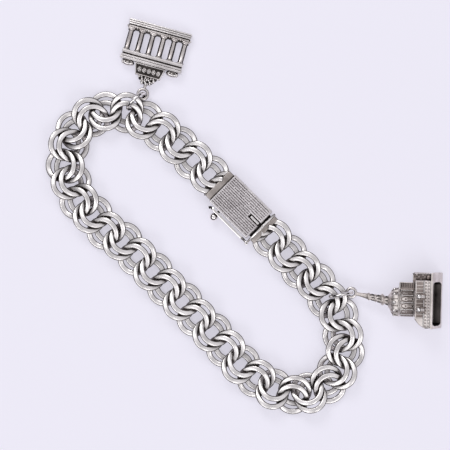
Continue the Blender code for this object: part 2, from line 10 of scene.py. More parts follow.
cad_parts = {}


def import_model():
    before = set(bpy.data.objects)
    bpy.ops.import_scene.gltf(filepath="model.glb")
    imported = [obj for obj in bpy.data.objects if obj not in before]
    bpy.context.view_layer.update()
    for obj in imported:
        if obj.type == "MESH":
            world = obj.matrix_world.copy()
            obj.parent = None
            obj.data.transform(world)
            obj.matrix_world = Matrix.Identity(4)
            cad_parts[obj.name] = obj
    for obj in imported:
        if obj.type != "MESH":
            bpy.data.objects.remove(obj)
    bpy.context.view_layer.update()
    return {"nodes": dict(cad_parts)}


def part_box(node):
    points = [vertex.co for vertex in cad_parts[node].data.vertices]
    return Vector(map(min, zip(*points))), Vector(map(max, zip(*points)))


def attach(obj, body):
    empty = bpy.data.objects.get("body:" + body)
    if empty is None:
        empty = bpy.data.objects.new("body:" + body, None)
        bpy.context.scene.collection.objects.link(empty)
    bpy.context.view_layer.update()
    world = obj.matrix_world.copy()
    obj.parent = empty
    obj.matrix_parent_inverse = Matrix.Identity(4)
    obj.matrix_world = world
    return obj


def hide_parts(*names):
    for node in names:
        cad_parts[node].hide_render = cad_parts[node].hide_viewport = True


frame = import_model()
MM = 0.001
BODY = "bracelet"
CATCH = "safety_catch"

# Chain, in millimetres
RING_HALF_LONG = 3.22
RING_HALF_WIDE = 3.02
WIRE_WIDE = 1.2
WIRE_HIGH = 0.8
WIRE_SQUARE = 0.56
WIRE_SIDES = 20
# Wire faces this near the sides take the dark flank material: painted shade
WIRE_SHADED_FLANK = 0.77
WIRE_INWARD = 0.1
SOLDER_HALF = (0.52, 0.34)
SOLDER_BACK = 0.03
RING_LEAN = 1.42
RING_STEP = 0.28
NEAR_RING_AT = (2.24, -1.05)
FAR_RING_AT = (2.40, 0.80)
CHAIN_Z = RING_LEAN + RING_STEP / 2 + 0.45
CHAIN_ROUTE = [
    (-9.5, 11.7), (-18.9, 11.0), (-28.1, 9.6), (-35.8, 5.6), (-38.8, -1.6),
    (-35.9, -8.8), (-28.8, -12.8), (-20.2, -13.4), (-11.4, -12.3), (-2.0, -11.9),
    (7.3, -11.5), (16.7, -11.2), (26.1, -10.9), (34.6, -8.2), (39.2, -2.0),
    (38.1, 5.7), (32.1, 11.0), (23.7, 12.9), (14.9, 12.7), (5.5, 12.5),
]

# Clasp
BOX_LONG = 11.5
BOX_WIDE = 8.25
BOX_HIGH = 3.6
BOX_WALL = 0.45
BOX_EDGE = 0.09
BOX_CORNER = 0.25
BOX_INNER_CORNER = 0.12
SLOT_LONG = 3.15
SLOT_WIDE = 1.05
BOX_PLATE_TO_UNIT = 0.16
TONGUE_PLATE_TO_UNIT = -0.34
PLATE_GRIP = 0.52
PLATE_HIGH = 2.9
PLATE_BEVEL = 0.25
PLATE_SHORT_OF_RING = 0.295
TONGUE_GAP = 0.5
TONGUE_BAR = 0.55
TONGUE_SIDE_GAP = 0.475
TONGUE_LEAF = 0.45
TONGUE_RISE_LONG = 2.3
TONGUE_LIP = 0.4
LEAF_LOOK = 0.42
THUMB_WIDE = 0.55
THUMB_PROUD = 0.35
THUMB_INSET = 0.25
FIT = 0.12
TUBE_RADIUS = 0.42
PIN_RADIUS = 0.17
TUBE_OUT = 0.72
KNUCKLE_SHARE = 0.28
KNUCKLE_GAP = 0.08
ARM_WIDE = 0.4
BALL_RADIUS = 0.8
BALL_AT = -2.6
BALL_OUT = 1.75
POST_RADIUS = 0.3
CATCH_THICK = 0.32
CATCH_HIGH = 2.5
CATCH_TIP_AT = -4.6
CATCH_NECK = 1.2
CATCH_NECK_END = 0.35
CATCH_EYE_RADIUS = 0.92
CATCH_OUT = 0.62

# Jump rings: centre where it lies, heading of its plane, lean of its plane
JUMP_RING_RADIUS = 2.42
JUMP_WIRE_RADIUS = 0.36
GATE_RING_AT = (-34.56, 10.44, 2.77)
GATE_RING_TURN = (90.6, -10.3)
CATHEDRAL_RING_AT = (27.11, 15.47, 2.82)
CATHEDRAL_RING_TURN = (58.7, -2.7)
EYE_WIRE_RADIUS = 0.34

# Gate charm: lengths run along it from the middle of its eye
GATE_EYE_AT = (-34.80, 12.61, 1.715)
GATE_HEADING = 122.8
GATE_LONG = 15.45
GATE_WIDE = 14.2
GATE_THICK = 2.4
GATE_EYE_RADIUS = 1.12
GATE_BASE_DEEP = 1.25
GATE_FRIEZE_DEEP = 1.0
COLUMN_COUNT = 6
COLUMN_PITCH = 2.44
COLUMN_RADIUS = 0.56
COLUMN_LONG = 4.65
CAPITAL_WIDE = 1.35
CAPITAL_THICK = 1.5
BAND_DEEP = 1.0
BAND_GROOVE = 0.2
ENTABLATURE_WIDE = 13.8
ENTABLATURE_THICK = 2.2
WING_DEEP = 1.1
WING_WIDE = 2.9
WING_THICK = 1.5
WING_INSET = 0.4
ATTIC_DEEP = 2.5
ATTIC_WIDE = 6.9
ATTIC_END_WIDE = 5.6
ATTIC_THICK = 1.8
ATTIC_RIM = 0.14
ROSETTE_COUNT = 5
SCULPTURE_DEEP = 1.7
SCULPTURE_WIDE = 5.0

# Cathedral charm: lengths run along it from the middle of its eye
CATHEDRAL_EYE_AT = (28.33, 17.48, 2.30)
CATHEDRAL_HEADING = 46.5
CATHEDRAL_RISE = 6.0
CATHEDRAL_LONG = 19.9
CATHEDRAL_EYE_RADIUS = 1.0
TOWER_ASIDE = -1.74
TOWER_RADIUS = 3.1
TOWER_FLATTEN = 0.84
TOWER_FROM = 1.1
TOWER_INTO_NAVE = 0.6
TOWER_LEAN_SHARE = 0.62
TOWER_ROUND = 48
DRUM_SHARES = (0.72, 0.93)
DRUM_BAYS = 12
NAVE_LONG = 5.9
NAVE_LOW_SIDE = -7.35
NAVE_HIGH_SIDE = 3.2
NAVE_SHOULDER = 2.0
NAVE_TOP = 3.4
NAVE_BOTTOM = -3.5
AISLE_TO_SIDE = 4.9
AISLE_BEFORE_NAVE = 0.6
AISLE_TOP = 1.6
PORCH_LONG = 3.5
PORCH_WIDE = 2.2
PORCH_TO_SIDE = 2.6
PORCH_TOP = 1.3
PLINTH_DEEP = 1.7
PLINTH_TOP = 3.7
PLINTH_BOTTOM = -4.1
PLINTH_SLANT = 1.5
PLINTH_EDGE = 0.12
NAVE_EDGE = 0.18
DORMER_RADIUS = 0.72
DORMER_RISE = 0.45
DORMERS_AT = (-0.3, -3.2)
DORMER_BACK = 0.85
WINDOW_COUNT = 15

# Engraved top of the clasp
ENGRAVE_PITCH = 0.5
ENGRAVE_BAR = 1.55
ENGRAVE_DEEP = 0.2
ENGRAVE_BORDER = 0.36
ENGRAVE_SLOT_BORDER = 0.2
ENGRAVE_PROUD = 0.22
ENGRAVE_TURN_DOWN = 0.08
ENGRAVE_NICK = 0.07
ENGRAVE_STEEP = 4.0
ENGRAVE_STAGGER = (0.5, 0.11)
ENGRAVE_CELLS = (165, 190)

# Fuller column shafts and ball, and the wide slanting mouth under the church
SHAFT_LOOK = 1.12
# Share of the column radius past which the shaft's flanks carry painted shade
COLUMN_SHADE_FROM = 0.74
FLUTE_DEEP = 0.1
COLUMN_ROUND = 32
BALL_LOOK = 1.12
MOUTH_SLANT = 2.13
MOUTH_RIM = 0.4
MOUTH_CORNER = (0.7, 2.6)
MOUTH_NARROWS = (1.6, 1.35)
NAVE_END_LEAN = 0.75
MOUTH_SIDES = (-6.75, 2.85)


# Helpers
POINT_RADIUS = 0.004


def frame_shift():
    """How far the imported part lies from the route's own axes, read from a ring that both know."""
    low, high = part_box("gate_jump_ring")
    centre = (low + high) / 2
    return Vector((centre.x - GATE_RING_AT[0] * MM, centre.y - GATE_RING_AT[1] * MM, 0))


SHIFT = frame_shift()


def place_at(x, y, z, turn):
    at = Vector((x * MM, y * MM, z * MM)) + SHIFT
    return Matrix.Translation(at) @ Matrix.Rotation(turn, 4, "Z")


class Form:
    """Gathers points and faces, in millimetres, with a material for every face."""

    def __init__(self):
        self.points = []
        self.faces = []
        self.mats = []
        self.smooth = []

    def add(self, points, faces, mat, smooth=True, move=None):
        base = len(self.points)
        if move is not None:
            points = [tuple(move @ Vector(p)) for p in points]
        self.points += [tuple(p) for p in points]
        self.faces += [tuple(base + i for i in f) for f in faces]
        self.mats += [mat] * len(faces)
        self.smooth += [smooth] * len(faces)

    def block(self, low, high, bevel, mat, steps=2):
        """Bevelled block between two corners."""
        self.add(*slab(low, high, bevel, steps), mat)

    def bar(self, x0, x1, y, half_y, half_z, bevel, mat, steps=2):
        """Bevelled block from x0 to x1, even to both sides of y and of the mid-height."""
        self.block((x0, y - half_y, -half_z), (x1, y + half_y, half_z), bevel, mat, steps)

    def build(self, name, matrix, looks=None):
        mesh = bpy.data.meshes.new(name)
        mesh.from_pydata([Vector(p) * MM for p in self.points], [], self.faces)
        looks = looks or list(dict.fromkeys(self.mats))
        for key in looks:
            mesh.materials.append(MATS[key])
        mesh.polygons.foreach_set("material_index", [looks.index(key) for key in self.mats])
        mesh.polygons.foreach_set("use_smooth", self.smooth)
        mesh.update()
        mesh.validate()
        return added(name, mesh, matrix)


def added(name, data, matrix=None):
    obj = bpy.data.objects.new(name, data)
    bpy.context.scene.collection.objects.link(obj)
    if matrix is not None:
        obj.matrix_world = matrix
    return obj


def circle(radius, sides):
    steps = [2 * pi * i / sides for i in range(sides)]
    return [(radius * cos(a), radius * sin(a)) for a in steps]


def quarter(steps):
    return [pi / 2 * i / steps for i in range(steps + 1)]


def half_circle(steps):
    return [pi * (i / steps - 0.5) for i in range(steps + 1)]


def tube_faces(rows, sides, closed):
    faces = []
    for r in range(rows if closed else rows - 1):
        q = (r + 1) % rows
        for i in range(sides):
            j = (i + 1) % sides
            faces.append((r * sides + i, r * sides + j, q * sides + j, q * sides + i))
    return faces


def loft(rows):
    """Body through rows of points, capped at both ends."""
    sides = len(rows[0])
    faces = tube_faces(len(rows), sides, False)
    faces.append(tuple(range(sides - 1, -1, -1)))
    faces.append(tuple(range((len(rows) - 1) * sides, len(rows) * sides)))
    return [p for row in rows for p in row], faces


def rounded(half_x, half_y, radius, steps=3):
    """Rounded rectangle, counter-clockwise, centred."""
    out = []
    for turns, (sx, sy) in enumerate(((1, 1), (-1, 1), (-1, -1), (1, -1))):
        cx, cy = sx * (half_x - radius), sy * (half_y - radius)
        for i in range(steps + 1):
            a = pi / 2 * (turns + i / steps)
            out.append((cx + radius * cos(a), cy + radius * sin(a)))
    return out


def inset_rows(outline, centre, z_pairs):
    """Rows of one outline shrunk toward its centre: (height, distance inward)."""
    rows = []
    for z, inward in z_pairs:
        row = []
        for x, y in outline:
            dx, dy = x - centre[0], y - centre[1]
            reach = max(abs(dx), abs(dy), 1e-6)
            k = max(0.02, (reach - inward) / reach)
            row.append((centre[0] + dx * k, centre[1] + dy * k, z))
        rows.append(row)
    return rows


def slab(low, high, bevel, steps=2):
    """Block with rounded upright edges and bevelled top and bottom edges."""
    (x0, y0, z0), (x1, y1, z1) = low, high
    hx, hy = (x1 - x0) / 2, (y1 - y0) / 2
    bevel = min(bevel, hx * 0.45, hy * 0.45, (z1 - z0) * 0.45)
    cx, cy = (x0 + x1) / 2, (y0 + y1) / 2
    rows = []
    for z, sign, turns in ((z0, 1, quarter(steps)), (z1, -1, quarter(steps)[::-1])):
        for a in turns:
            inward, up = bevel * (1 - sin(a)), bevel * (1 - cos(a))
            outline = rounded(hx - inward, hy - inward, bevel)
            rows.append([(cx + x, cy + y, z + sign * up) for x, y in outline])
    return loft(rows)


def turned_body(profile, sides):
    """Body turned about X: profile of (x, radius)."""
    return loft([[(x, a, b) for a, b in circle(max(r, POINT_RADIUS), sides)] for x, r in profile])


def round_ring(radius, wire, steps, sides):
    points = []
    for c, s in circle(1.0, steps):
        for a, b in circle(wire, sides):
            points.append(tuple(Vector((c, s, 0)) * (radius + a) + Vector((0, 0, b))))
    return points, [f[::-1] for f in tube_faces(steps, sides, True)]


# Chain
def wire_section():
    """Half-round wire rubbed to a broad soft flat: an oval with squared shoulders."""
    out = []
    for c, s in circle(1.0, WIRE_SIDES):
        x = math.copysign(abs(c) ** WIRE_SQUARE, c) * WIRE_WIDE / 2
        y = math.copysign(abs(s) ** WIRE_SQUARE, s) * WIRE_HIGH / 2
        out.append((x, y))
    return out


def chain_ring(near, side, steps=64):
    at = NEAR_RING_AT if near else FAR_RING_AT
    level = RING_STEP / 2 if near else -RING_STEP / 2
    section = wire_section()
    points = []
    for c, s in circle(1.0, steps):
        x = at[0] + (RING_HALF_LONG - WIRE_INWARD) * c
        y = at[1] + (RING_HALF_WIDE - WIRE_INWARD) * s
        out = Vector((c / RING_HALF_LONG, s / RING_HALF_WIDE, 0)).normalized()
        centre = Vector((x, y, level + RING_LEAN * s))
        for a, b in section:
            points.append(tuple(centre + out * a + Vector((0, 0, b))))
    if side < 0:
        points = [(-x, -y, z) for x, y, z in points]
    return points, [f[::-1] for f in tube_faces(steps, len(section), True)]


def add_wire(form, points, faces):
    """The wire's flanks take a dark material: painted shade on its sides, also standing for the dark film
    that its flats have lost by rubbing.
    """
    first = len(form.faces)
    form.add(points, faces, "wire")
    for k, face in enumerate(faces):
        turn = 2 * pi * (k % WIRE_SIDES + 0.5) / WIRE_SIDES
        if len(face) == 4 and abs(sin(turn)) < WIRE_SHADED_FLANK:
            form.mats[first + k] = "flank"


def crossing():
    """Where the two rings of one link cross: x, y and the heights of the low and high strand."""
    far = Vector(FAR_RING_AT)
    near = -Vector(NEAR_RING_AT)

    def height(c, x):
        share = (x - c.x) / RING_HALF_LONG
        return c.y + RING_HALF_WIDE * math.sqrt(max(0.0, 1 - share * share))

    lo, hi = -RING_HALF_LONG, RING_HALF_LONG
    for _ in range(40):
        mid = (lo + hi) / 2
        if height(near, mid) > height(far, mid):
            lo = mid
        else:
            hi = mid
    x, y = lo, height(far, lo)
    z_far = -RING_STEP / 2 + RING_LEAN * (y - far.y) / RING_HALF_WIDE
    z_near = RING_STEP / 2 - RING_LEAN * (y - near.y) / RING_HALF_WIDE
    return x, y, z_near, z_far


def solder_fillet():
    """Flowed solder between the two strands where they cross."""
    x, y, z0, z1 = crossing()
    rows = []
    for at, share in ((0.0, 1.25), (0.2, 0.95), (0.5, 0.8), (0.8, 0.95), (1.0, 1.3)):
        wide, deep = (half * share for half in SOLDER_HALF)
        z = z0 + (z1 - z0) * at
        rows.append([(x + a * wide, y - SOLDER_BACK + b * deep, z) for a, b in circle(1.0, 20)])
    return loft(rows)


def link_form():
    form = Form()
    for near, side in ((True, -1), (False, 1)):
        add_wire(form, *chain_ring(near, side))
    form.add(*solder_fillet(), "solder")
    return form


def unit_poses():
    points = [Vector(p) for p in CHAIN_ROUTE]
    runs = []
    last = None
    for a, b in zip(points, points[1:]):
        angle = math.atan2(b.y - a.y, b.x - a.x)
        if last is None:
            angle += 2 * pi * (angle < 0)
        else:
            while angle < last - pi:
                angle += 2 * pi
            while angle > last + pi:
                angle -= 2 * pi
        runs.append(angle)
        last = angle
    return [(p.x, p.y, (u + v) / 2) for p, u, v in zip(points[1:-1], runs, runs[1:])]


def chain():
    pieces = []
    for x, y, head in unit_poses():
        for half_turn in (0.0, pi):
            name = f"chain_link_{len(pieces) + 1:02d}"
            at = place_at(x, y, CHAIN_Z, head + half_turn)
            if pieces:
                pieces.append(added(name, pieces[0].data.copy(), at))
            else:
                pieces.append(link_form().build(name, at))
    for count, piece in enumerate(pieces, 1):
        tell(piece, f"link_{count:02d}")


# Clasp
def clasp_pose():
    (x0, y0), (x1, y1) = CHAIN_ROUTE[0], CHAIN_ROUTE[-1]
    turn = math.atan2(y1 - y0, x1 - x0)
    return (x0 + x1) / 2, (y0 + y1) / 2, turn, math.hypot(x1 - x0, y1 - y0) / 2


CLASP_X, CLASP_Y, CLASP_TURN, REACH = clasp_pose()
CLASP_AT = place_at(CLASP_X, CLASP_Y, 0, CLASP_TURN)
HALF_L = BOX_LONG / 2
HALF_W = BOX_WIDE / 2
BAR_X = HALF_L + TONGUE_GAP
BACK_X = BAR_X + TONGUE_BAR
PLATE_HALF = RING_HALF_WIDE - NEAR_RING_AT[1] - PLATE_SHORT_OF_RING
TUBE_X = BAR_X + TONGUE_BAR / 2
TUBE_Y = -HALF_W - TUBE_OUT
HINGE_UP = Matrix.Translation((TUBE_X, TUBE_Y, 0)) @ Matrix.Rotation(-pi / 2, 4, "Y")


def end_arcs(form, start, mirror):
    """The half unit's ring arcs from the end plate outward; mirror turns them to the box's other end."""
    steps = 84
    for near in (True, False):
        for side in (1, -1):
            points, _ = chain_ring(near, side, steps)
            n = len(points) // steps
            rows = [points[i * n:(i + 1) * n] for i in range(steps)]
            rows = [[(x + REACH, y, z + CHAIN_Z) for x, y, z in row] for row in rows]
            mids = [sum(p[0] for p in row) / n for row in rows]
            first = [i for i in range(steps) if mids[i] > start >= mids[i - 1]]
            kept = [] if first else rows + rows[:1]
            if first:
                i = first[0]
                while mids[i % steps] > start:
                    kept.append(rows[i % steps])
                    i += 1
            if mirror:
                kept = [[(-x, -y, z) for x, y, z in row] for row in kept]
            points, faces = loft(kept)
            add_wire(form, points, [f[::-1] for f in faces])


def baked(obj, cutter, bevel=0.0):
    """The object with its cut, and a small bevel, made real."""
    mod = obj.modifiers.new("cut", "BOOLEAN")
    mod.operation = "DIFFERENCE"
    mod.solver = "EXACT"
    mod.object = cutter
    if bevel:
        mod = obj.modifiers.new("edge", "BEVEL")
        mod.width = bevel * MM
        mod.segments = 2
        mod.limit_method = "ANGLE"
        mod.angle_limit = math.radians(40)
    bpy.context.view_layer.update()
    graph = bpy.context.evaluated_depsgraph_get()
    mesh = bpy.data.meshes.new_from_object(obj.evaluated_get(graph))
    obj.modifiers.clear()
    obj.data = mesh
    bpy.data.objects.remove(cutter, do_unlink=True)


def smooth_edges(obj, degrees=35):
    """Soft shading that keeps edges sharper than the angle."""
    mesh = obj.data
    bm = bmesh.new()
    bm.from_mesh(mesh)
    limit = math.radians(degrees)
    for edge in bm.edges:
        edge.smooth = len(edge.link_faces) == 2 and edge.calc_face_angle(0.0) < limit
    for face in bm.faces:
        face.smooth = True
    bm.to_mesh(mesh)
    bm.free()


def tell(obj, node, body=BODY):
    """Writes the object's place into its points, hangs it on the body it rides on, and hides the part that it
    stands for.
    """
    obj.data.transform(obj.matrix_world)
    obj.matrix_world = Matrix.Identity(4)
    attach(obj, body)
    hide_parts(node)


def yz_outline(half_y, z0, z1, radius):
    mid = (z0 + z1) / 2
    return [(y, mid + z) for y, z in rounded(half_y, (z1 - z0) / 2, radius, 4)]


def case_shell():
    """Rectangular tube closed at the back, open toward the tongue."""
    top = BOX_HIGH - ENGRAVE_PROUD
    e = BOX_EDGE
    rows = []
    for x, d in ((-HALF_L, e), (-HALF_L + e, 0), (HALF_L - e, 0), (HALF_L, e)):
        rows.append([(x, y, z) for y, z in yz_outline(HALF_W - d, d, top - d * 0.4, BOX_CORNER)])
    w = BOX_WALL
    inner = yz_outline(HALF_W - w, w, BOX_HIGH - w, BOX_INNER_CORNER)
    for x in (HALF_L, -HALF_L + w):
        rows.append([(x, y, z) for y, z in inner])
    return loft(rows)


def engraved_height(x, y):
    """Lengthwise ribs cut across into staggered bars, with a bright nick at every cut."""
    row = math.floor(y / ENGRAVE_PITCH)
    across = y / ENGRAVE_PITCH - row
    rib = min(1.0, ENGRAVE_STEEP * min(across, 1 - across))
    half, third = ENGRAVE_STAGGER
    along = (x + ENGRAVE_BAR * (half * (row % 2) + third * (row % 3))) / ENGRAVE_BAR
    along -= math.floor(along)
    return rib if min(along, 1 - along) > ENGRAVE_NICK else 1.0


def engraved_top():
    """Top of the box: a plain border round the engraved field, edges turned down, the slot left open."""
    nx, ny = ENGRAVE_CELLS
    x0, x1 = -HALF_L + 0.01, HALF_L - 0.01
    y0, y1 = -HALF_W + 0.01, HALF_W - 0.01
    slot_x, slot_y = HALF_L - SLOT_LONG, SLOT_WIDE / 2
    cell = (x1 - x0) / nx
    points, faces, grooves = [], [], []
    for i in range(nx + 1):
        x = x0 + (x1 - x0) * i / nx
        for j in range(ny + 1):
            y = y0 + (y1 - y0) * j / ny
            edge = min(x - x0, x1 - x, y - y0, y1 - y)
            slot = max(slot_x - x, abs(y) - slot_y)
            if edge < cell / 2 or slot < cell / 2:
                z = BOX_HIGH - ENGRAVE_PROUD - ENGRAVE_TURN_DOWN
            elif edge < 1.5 * cell or slot < 1.5 * cell:
                z = BOX_HIGH - 0.03
            elif edge < ENGRAVE_BORDER or slot < ENGRAVE_SLOT_BORDER:
                z = BOX_HIGH
            else:
                z = BOX_HIGH - ENGRAVE_DEEP * (1 - engraved_height(x, y))
            points.append((x, y, z))
    for i in range(nx):
        for j in range(ny):
            x = x0 + (x1 - x0) * (i + 0.5) / nx
            y = y0 + (y1 - y0) * (j + 0.5) / ny
            if x > slot_x + cell and abs(y) < slot_y - cell:
                continue
            k = i * (ny + 1) + j
            face = (k, k + ny + 1, k + ny + 2, k + 1)
            height = sum(points[v][2] for v in face) / 4
            inside = min(x - x0, x1 - x, y - y0, y1 - y) > ENGRAVE_BORDER
            groove = inside and BOX_HIGH - ENGRAVE_DEEP * 1.05 < height < BOX_HIGH - ENGRAVE_DEEP * 0.5
            (grooves if groove else faces).append(face)
    return points, faces, grooves


def clasp_case():
    shell = Form()
    shell.add(*case_shell(), "satin", smooth=False)
    body = shell.build("clasp_case", CLASP_AT)
    slot = Form()
    low = (HALF_L - SLOT_LONG, -SLOT_WIDE / 2, BOX_HIGH - 1)
    slot.block(low, (HALF_L + 1, SLOT_WIDE / 2, BOX_HIGH + 1), 0.02, "satin")
    baked(body, slot.build("slot_cut", CLASP_AT))
    body.data.materials.clear()
    for key in ("satin", "dark"):
        body.data.materials.append(MATS[key])
    # Faces inside the box take the dark material: painted shade in the box's interior
    skin = BOX_WALL * 0.9
    for face in body.data.polygons:
        mid = face.center
        inside = abs(mid.y) < (HALF_W - skin) * MM and skin * MM < mid.z < (BOX_HIGH - 0.4) * MM
        face.material_index = 1 if inside and mid.x > (-HALF_L + 0.1) * MM else 0
    smooth_edges(body)
    top = Form()
    points, faces, grooves = engraved_top()
    top.add(points, faces + grooves, "engraved")
    top.mats[len(faces):] = ["groove"] * len(grooves)
    plate = top.build("clasp_case_top", CLASP_AT)
    rest = Form()
    plate_end = REACH - BOX_PLATE_TO_UNIT
    z0 = CHAIN_Z - PLATE_HIGH / 2
    top_z = z0 + PLATE_HIGH
    low = (-plate_end, -PLATE_HALF, z0)
    rest.block(low, (-HALF_L + 0.2, PLATE_HALF, top_z), PLATE_BEVEL, "solder", 3)
    # Thin dark strip along the joint of box and end plate: painted shade between the parts
    low = (-HALF_L - 0.2, -PLATE_HALF + 0.1, top_z - 0.3)
    rest.block(low, (-HALF_L - 0.02, PLATE_HALF - 0.1, top_z + 0.05), 0.03, "dark")
    end_arcs(rest, plate_end - PLATE_GRIP, True)
    r = BALL_RADIUS * BALL_LOOK
    ball = [(sin(a) * r, cos(a) * r) for a in half_circle(20)]
    spin = Matrix.Rotation(pi / 2, 4, "Z")
    at = Matrix.Translation((BALL_AT, -HALF_W - BALL_OUT, CHAIN_Z))
    rest.add(*turned_body(ball, 28), "bright", move=at @ spin)
    post = [(-BALL_OUT - 0.2, POST_RADIUS), (-0.75, POST_RADIUS), (-0.5, POST_RADIUS * 1.6)]
    rest.add(*turned_body([(-x, r) for x, r in post], 16), "bright", move=at @ spin)
    ends = rest.build("clasp_box_end", CLASP_AT)
    for piece in (body, plate, ends):
        tell(piece, "clasp_box")


def tongue():
    form = Form()
    bar_mid = (BAR_X + BACK_X) / 2
    rows = []
    for y, k in ((-HALF_W, 0.8), (-HALF_W + 0.1, 1.0), (HALF_W - 0.1, 1.0), (HALF_W, 0.8)):
        section = rounded(TONGUE_BAR / 2 * k, BOX_HIGH / 2 * (0.5 + k / 2), TONGUE_BAR * 0.3 * k, 5)
        rows.append([(bar_mid + a, y, BOX_HIGH / 2 + b) for a, b in section[::-1]])
    form.add(*loft(rows), "relief")
    plate_end = REACH - TONGUE_PLATE_TO_UNIT
    z0 = CHAIN_Z - PLATE_HIGH / 2
    low = (BACK_X - 0.1, -PLATE_HALF, z0)
    form.block(low, (plate_end, PLATE_HALF, z0 + PLATE_HIGH), PLATE_BEVEL, "solder", 3)
    floor = BOX_WALL + FIT
    ceiling = BOX_HIGH - BOX_WALL - FIT
    tip = -HALF_L + BOX_WALL + TONGUE_RISE_LONG
    lip = HALF_L - TONGUE_LIP
    w = HALF_W - BOX_WALL - TONGUE_SIDE_GAP
    leaf = TONGUE_LEAF
    # Folded leaf: place along the clasp, height
    path = [
        (BAR_X + 0.1, floor + leaf / 2),
        (tip + 1.2, floor + leaf / 2),
        (tip + 0.25, floor + leaf * 0.75),
        (tip + 0.2, floor + leaf * 1.3),
        (tip + 1.2, floor + leaf * 1.9),
        (lip - TONGUE_RISE_LONG / 2, ceiling - leaf / 2),
        (lip, ceiling - leaf / 2),
    ]
    rows = []
    for i, (x, z) in enumerate(path):
        a, b = path[max(0, i - 1)], path[min(len(path) - 1, i + 1)]
        way = Vector((b[0] - a[0], b[1] - a[1])).normalized()
        nx, nz = -way.y * leaf * LEAF_LOOK, way.x * leaf * LEAF_LOOK
        rows.append([(x + k * nx, y, z + k * nz) for k, y in ((-1, -w), (-1, w), (1, w), (1, -w))])
    # The leaf inside the box takes the dark material: painted shade
    form.add(*loft(rows), "dark", smooth=False)
    thumb_x = HALF_L - SLOT_LONG + (SLOT_WIDE - THUMB_WIDE)
    low = (thumb_x, -THUMB_WIDE / 2, ceiling - leaf / 2)
    form.block(low, (HALF_L - THUMB_INSET, THUMB_WIDE / 2, BOX_HIGH + THUMB_PROUD), 0.2, "relief", 4)
    end_arcs(form, plate_end - PLATE_GRIP, False)
    z0, z1 = CHAIN_Z - CATCH_HIGH / 2, CHAIN_Z + CATCH_HIGH / 2
    knuckle = (z1 - z0) * KNUCKLE_SHARE
    for a, b in ((z0, z0 + knuckle), (z1 - knuckle, z1)):
        r = TUBE_RADIUS
        profile = [(a, r * 0.8), (a + 0.07, r), (b - 0.07, r), (b, r * 0.8)]
        form.add(*turned_body(profile, 24), "bright", move=HINGE_UP)
        low = (TUBE_X - ARM_WIDE / 2, TUBE_Y, a + 0.05)
        form.block(low, (TUBE_X + ARM_WIDE / 2, -HALF_W + 0.2, b - 0.05), 0.06, "solder")
    pin = [(z0 - 0.04, 0.1), (z0, PIN_RADIUS), (z1, PIN_RADIUS), (z1 + 0.06, 0.1)]
    form.add(*turned_body(pin, 12), "dark", move=HINGE_UP)
    tell(form.build("clasp_tongue_piece", CLASP_AT), "clasp_tongue")


def catch():
    """Sprung strip: neck at the hinge, rolled edges, round eye over the ball, tip curled outward."""
    strip_y = -HALF_W - CATCH_OUT
    z_mid = CHAIN_Z
    tip = CATCH_TIP_AT
    half = CATCH_HIGH / 2
    neck = half * (1 - 2 * KNUCKLE_SHARE) - KNUCKLE_GAP
    # Strip: place along the clasp, place across it, half height
    path = [
        (TUBE_X - TUBE_RADIUS * 0.78, strip_y - 0.02, neck),
        (TUBE_X - TUBE_RADIUS - CATCH_NECK_END, strip_y, neck),
        (TUBE_X - TUBE_RADIUS - CATCH_NECK, strip_y, half),
        (TUBE_X - 4.0, strip_y, half),
        (tip + 1.2, strip_y, half),
        (tip + 0.6, strip_y, half * 0.97),
        (tip + 0.25, strip_y, half * 0.8),
        (tip + 0.05, strip_y - 0.08, half * 0.62),
        (tip - 0.1, strip_y - 0.24, half * 0.5),
        (tip - 0.2, strip_y - 0.42, half * 0.4),
    ]
    rows = []
    for i, (x, y, h) in enumerate(path):
        a, b = path[max(0, i - 1)], path[min(len(path) - 1, i + 1)]
        way = Vector((b[0] - a[0], b[1] - a[1])).normalized()
        nx, ny = -way.y, way.x
        t = CATCH_THICK / 2
        roll = [(t, 0.8), (t * 1.8, 0.88), (t * 1.75, 0.96), (t, 1.0)]
        top_edge = roll + [(-s, k) for s, k in roll[::-1]]
        outline = top_edge + [(-s, -k) for s, k in top_edge]
        rows.append([(x + nx * s, y + ny * s, z_mid + h * k) for s, k in outline])
    form = Form()
    form.add(*loft(rows), "bright", smooth=False)
    strip = form.build("catch_strip", CLASP_AT)
    hole = Form()
    at = Matrix.Translation((BALL_AT, strip_y, z_mid)) @ Matrix.Rotation(pi / 2, 4, "Z")
    hole.add(*turned_body([(-1, CATCH_EYE_RADIUS), (1, CATCH_EYE_RADIUS)], 40), "bright", move=at)
    baked(strip, hole.build("eye_cut", CLASP_AT))
    smooth_edges(strip)
    barrel = Form()
    a, b = z_mid - neck, z_mid + neck
    r = TUBE_RADIUS
    profile = [(a, r * 0.85), (a + 0.06, r), (b - 0.06, r), (b, r * 0.85)]
    barrel.add(*turned_body(profile, 28), "bright", move=HINGE_UP)
    tube = barrel.build("catch_barrel", CLASP_AT)
    for piece in (strip, tube):
        tell(piece, "safety_catch", CATCH)


# Jump rings
def jump_ring(name, node, at, turn):
    heading, lean = (math.radians(a) for a in turn)
    form = Form()
    form.add(*round_ring(JUMP_RING_RADIUS, JUMP_WIRE_RADIUS, 72, 16), "bright")
    place = Matrix.Translation(Vector(at) * MM + SHIFT)
    place = place @ Matrix.Rotation(heading, 4, "Z") @ Matrix.Rotation(pi / 2 + lean, 4, "X")
    tell(form.build(name, place), node)


